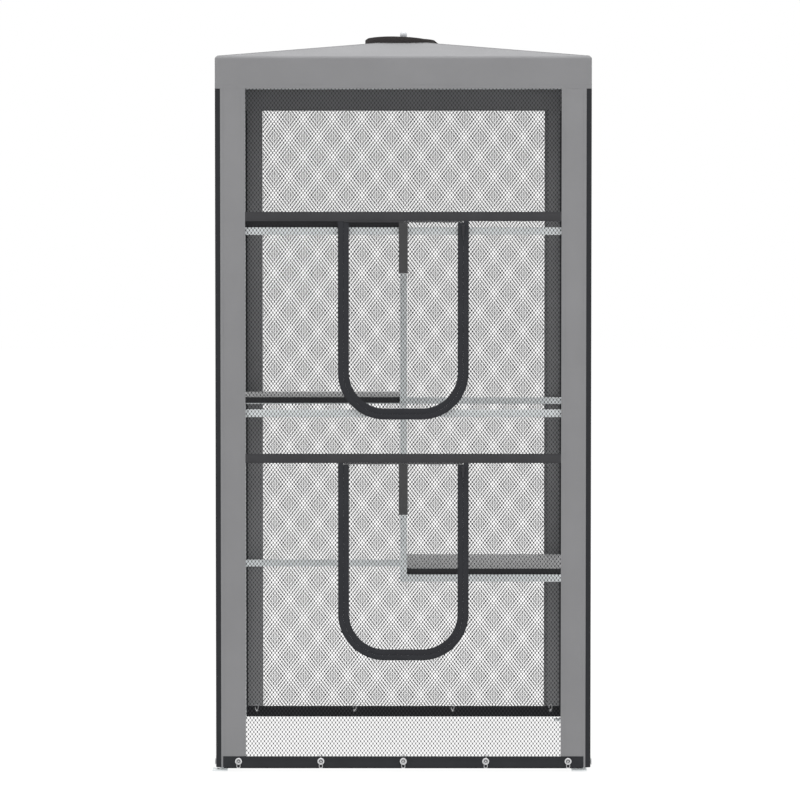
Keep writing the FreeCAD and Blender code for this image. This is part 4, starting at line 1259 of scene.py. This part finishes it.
def door_zip(door):
    """Tapes of a door's zip, with their teeth, their lips and the seam of the door's tape."""
    size = sizes()
    body = door + "_door"
    dressed(door + "_frame_tape", TAPE_EDGE, ["zip_tape"])
    dressed(door + "_door_tape", TAPE_EDGE, ["zip_tape"], body)
    width = tapes_width(door)
    seam = zip_line(door, width - SEAM_INSET, node_box(door + "_frame_tape")[0].y)
    stitches(door + "_door_stitches", [(seam, FORWARD)], "dark_thread", body)
    zip_row(door + "_frame_teeth", door, size.zip_tape + FRAME_TOOTH_INSET, 0.0, BODY)
    zip_row(door + "_door_teeth", door, size.zip_tape + DOOR_TOOTH_INSET, size.tooth_pitch / 2, body)
    gap = width - 2 * size.zip_tape
    lip = gap * LIP_SHARE
    zip_lip(door + "_frame_lip", door, size.zip_tape, lip, BODY)
    zip_lip(door + "_door_lip", door, size.zip_tape + gap - lip, lip, body)


def roll_axis(door):
    """Radius and middle of the rolled top edge of a door."""
    low, high = node_box(door + "_door")
    radius = (high.y - low.y) / 2
    return radius, Vector((0, (low.y + high.y) / 2, high.z - radius))


def roll(shape, middle, left, right, radius):
    """A level roll between two ends, with its ends eased."""
    slim, ease = radius * ROLL_END, radius / 3
    stations = ((left, slim), (left + ease, radius), (right - ease, radius), (right, slim))
    rod(shape, middle, 0, stations, ROLL_SIDES)


def door_net(door):
    """The net of a door, tucked under its tape, and the rolled top edge that turns under the band."""
    body = door + "_door"
    line = door_u(door, tapes_width(door) - sizes().net_tuck)
    top = door_top(door) - sizes().net_row / 2
    cells = net_cells(line[0], line[1], top, lambda x, z: inside_u(x, z, *line))
    net(body + "_net", cells, [body], body=body)
    low, high = node_box(body)
    radius, middle = roll_axis(door)
    shape = bmesh.new()
    roll(shape, middle, low.x, high.x, radius)
    add_piece(body + "_roll", shape, ["band_webbing"], [body], body, SOFT_SHADE)


def strap_root(door, half, strap_top):
    """The sewn end of a strap: a patch on the door and a sleeve round the door's rolled edge."""
    radius, middle = roll_axis(door)
    patch = bmesh.new()
    bmesh.ops.create_cube(patch, size=1.0)
    patch_top = middle.z - ROOT_DROP * radius
    patch_low = strap_top - ROOT_OVERLAP
    bmesh.ops.scale(patch, verts=patch.verts, vec=(2 * half, ROOT_THICKNESS, patch_top - patch_low))
    place = Vector((0, middle.y - radius, (patch_top + patch_low) / 2))
    bmesh.ops.translate(patch, verts=patch.verts, vec=place)
    round_edges(patch, ROOT_THICKNESS / 4, 2)
    roll(patch, middle, -half, half, radius + SLEEVE_WALL)
    add_piece(door + "_strap_root", patch, ["strap_webbing"], body=door + "_door", shade=SOFT_SHADE)


def tie_strap(door):
    """A webbing strap that hangs from the band, with a folded end."""
    low, high = node_box(door + "_tie_strap")
    half, thick = (high.x - low.x) / 2, STRAP_THICKNESS / 2
    middle = (low.y + high.y) / 2
    section = []
    for x_side, y_side in ((1, 1), (-1, 1), (-1, -1), (1, -1)):
        corner = math.atan2(y_side, x_side)
        for angle in spaced(corner - QUARTER / 2, corner + QUARTER / 2, 3):
            section.append((x_side * (half - thick) + thick * math.cos(angle), thick * math.sin(angle)))
    rings = []
    for share in spaced(0, 1, STRAP_STEPS):
        up = high.z + (low.z - high.z) * share
        plane = middle + STRAP_SWAY * math.sin(share * STRAP_WAVES)
        swell = STRAP_FOLD_SWELL if share > STRAP_FOLD else 1.0
        rings.append([Vector((x, plane + y * swell, up)) for x, y in section])
    shape = bmesh.new()
    solid_loft(shape, rings)
    name = door + "_strap"
    add_piece(name + "_webbing", shape, ["strap_webbing"], [door + "_tie_strap"], name)
    strap_root(door, half, high.z)
    front = thick * STRAP_SEAM_LIFT - middle
    runs = [level_run(half - SEAM_INSET, front, low.z + inset) for inset in STRAP_SEAMS]
    stitches(name + "_stitches", runs, "dark_thread", name)


class PLAYPEN_OT_doors(bpy.types.Operator):
    """Two net doors with their bands, zips, sliders, pulls and tie straps"""

    bl_idname = "playpen.doors"
    bl_label = "Doors"

    def execute(self, context):
        for door in DOORS:
            door_band(door)
            door_zip(door)
            door_net(door)
            tie_strap(door)
            dressed(door + "_zip_slider", SLIDER_EDGE, ["dark_metal"], door + "_slider")
            dressed(door + "_zip_pull", PULL_EDGE, ["dark_metal"], door + "_pull")
        return {"FINISHED"}


# Stage

class PLAYPEN_OT_stage(bpy.types.Operator):
    """Pale floor, soft light and the camera"""

    bl_idname = "playpen.stage"
    bl_label = "Stage"

    def execute(self, context):
        scene = context.scene
        scene.view_settings.view_transform = "Standard"
        shape = bmesh.new()
        bmesh.ops.create_grid(shape, x_segments=8, y_segments=8, size=FLOOR_HALF)
        floor = placed("floor", baked(shape, "floor"))
        material = finish("floor")
        surface = material.node_tree.nodes["Principled BSDF"]
        surface.inputs["Emission Color"].default_value = WHITE
        surface.inputs["Emission Strength"].default_value = FLOOR_GLOW
        floor.data.materials.append(material)
        floor.location.z = -FLOOR_DROP
        world = bpy.data.worlds.new("studio")
        world.use_nodes = True
        world.node_tree.nodes["Background"].inputs["Color"].default_value = WHITE
        scene.world = world
        lamp = bpy.data.lights.new("overhead", "AREA")
        lamp.shape = "SQUARE"
        lamp.size = LAMP_SIZE
        lamp.energy = LAMP_POWER
        placed("overhead", lamp).location = LAMP_PLACE
        lens = bpy.data.cameras.new("camera")
        lens.sensor_width = SENSOR
        lens.lens = CAMERA_LENS
        lens.clip_end = CAMERA_REACH
        camera = placed("camera", lens)
        camera.location = CAMERA_PLACE
        camera.rotation_euler = (math.radians(90 - CAMERA_TILT), 0.0, math.radians(CAMERA_TURN))
        scene.camera = camera
        return {"FINISHED"}


class PLAYPEN_PT_panel(bpy.types.Panel):
    """Lists the playpen's pieces"""

    bl_idname = "PLAYPEN_PT_panel"
    bl_label = "Cat Playpen"
    bl_space_type = "VIEW_3D"
    bl_region_type = "UI"
    bl_category = "Playpen"

    def draw(self, context):
        for operator in OPERATORS:
            self.layout.operator(operator.bl_idname)
        for group in (context.scene.playpen_sizes, context.scene.playpen_colours):
            for name in group.__annotations__:
                self.layout.prop(group, name)


OPERATORS = (
    PLAYPEN_OT_frame,
    PLAYPEN_OT_shelves,
    PLAYPEN_OT_roof,
    PLAYPEN_OT_cover,
    PLAYPEN_OT_nets,
    PLAYPEN_OT_hems,
    PLAYPEN_OT_doors,
    PLAYPEN_OT_stage,
)
CLASSES = (PlaypenSizes, PlaypenColours, *OPERATORS, PLAYPEN_PT_panel)


def register():
    """Adds the classes and the scene's settings."""
    for kind in CLASSES:
        bpy.utils.register_class(kind)
    bpy.types.Scene.playpen_sizes = bpy.props.PointerProperty(type=PlaypenSizes)
    bpy.types.Scene.playpen_colours = bpy.props.PointerProperty(type=PlaypenColours)


def unregister():
    """Takes the classes and the scene's settings away."""
    del bpy.types.Scene.playpen_colours
    del bpy.types.Scene.playpen_sizes
    for kind in reversed(CLASSES):
        bpy.utils.unregister_class(kind)


def main():
    """Builds the playpen."""
    register()
    for operator in OPERATORS:
        group, name = operator.bl_idname.split(".")
        getattr(getattr(bpy.ops, group), name)()


if __name__ == "__main__":
    main()
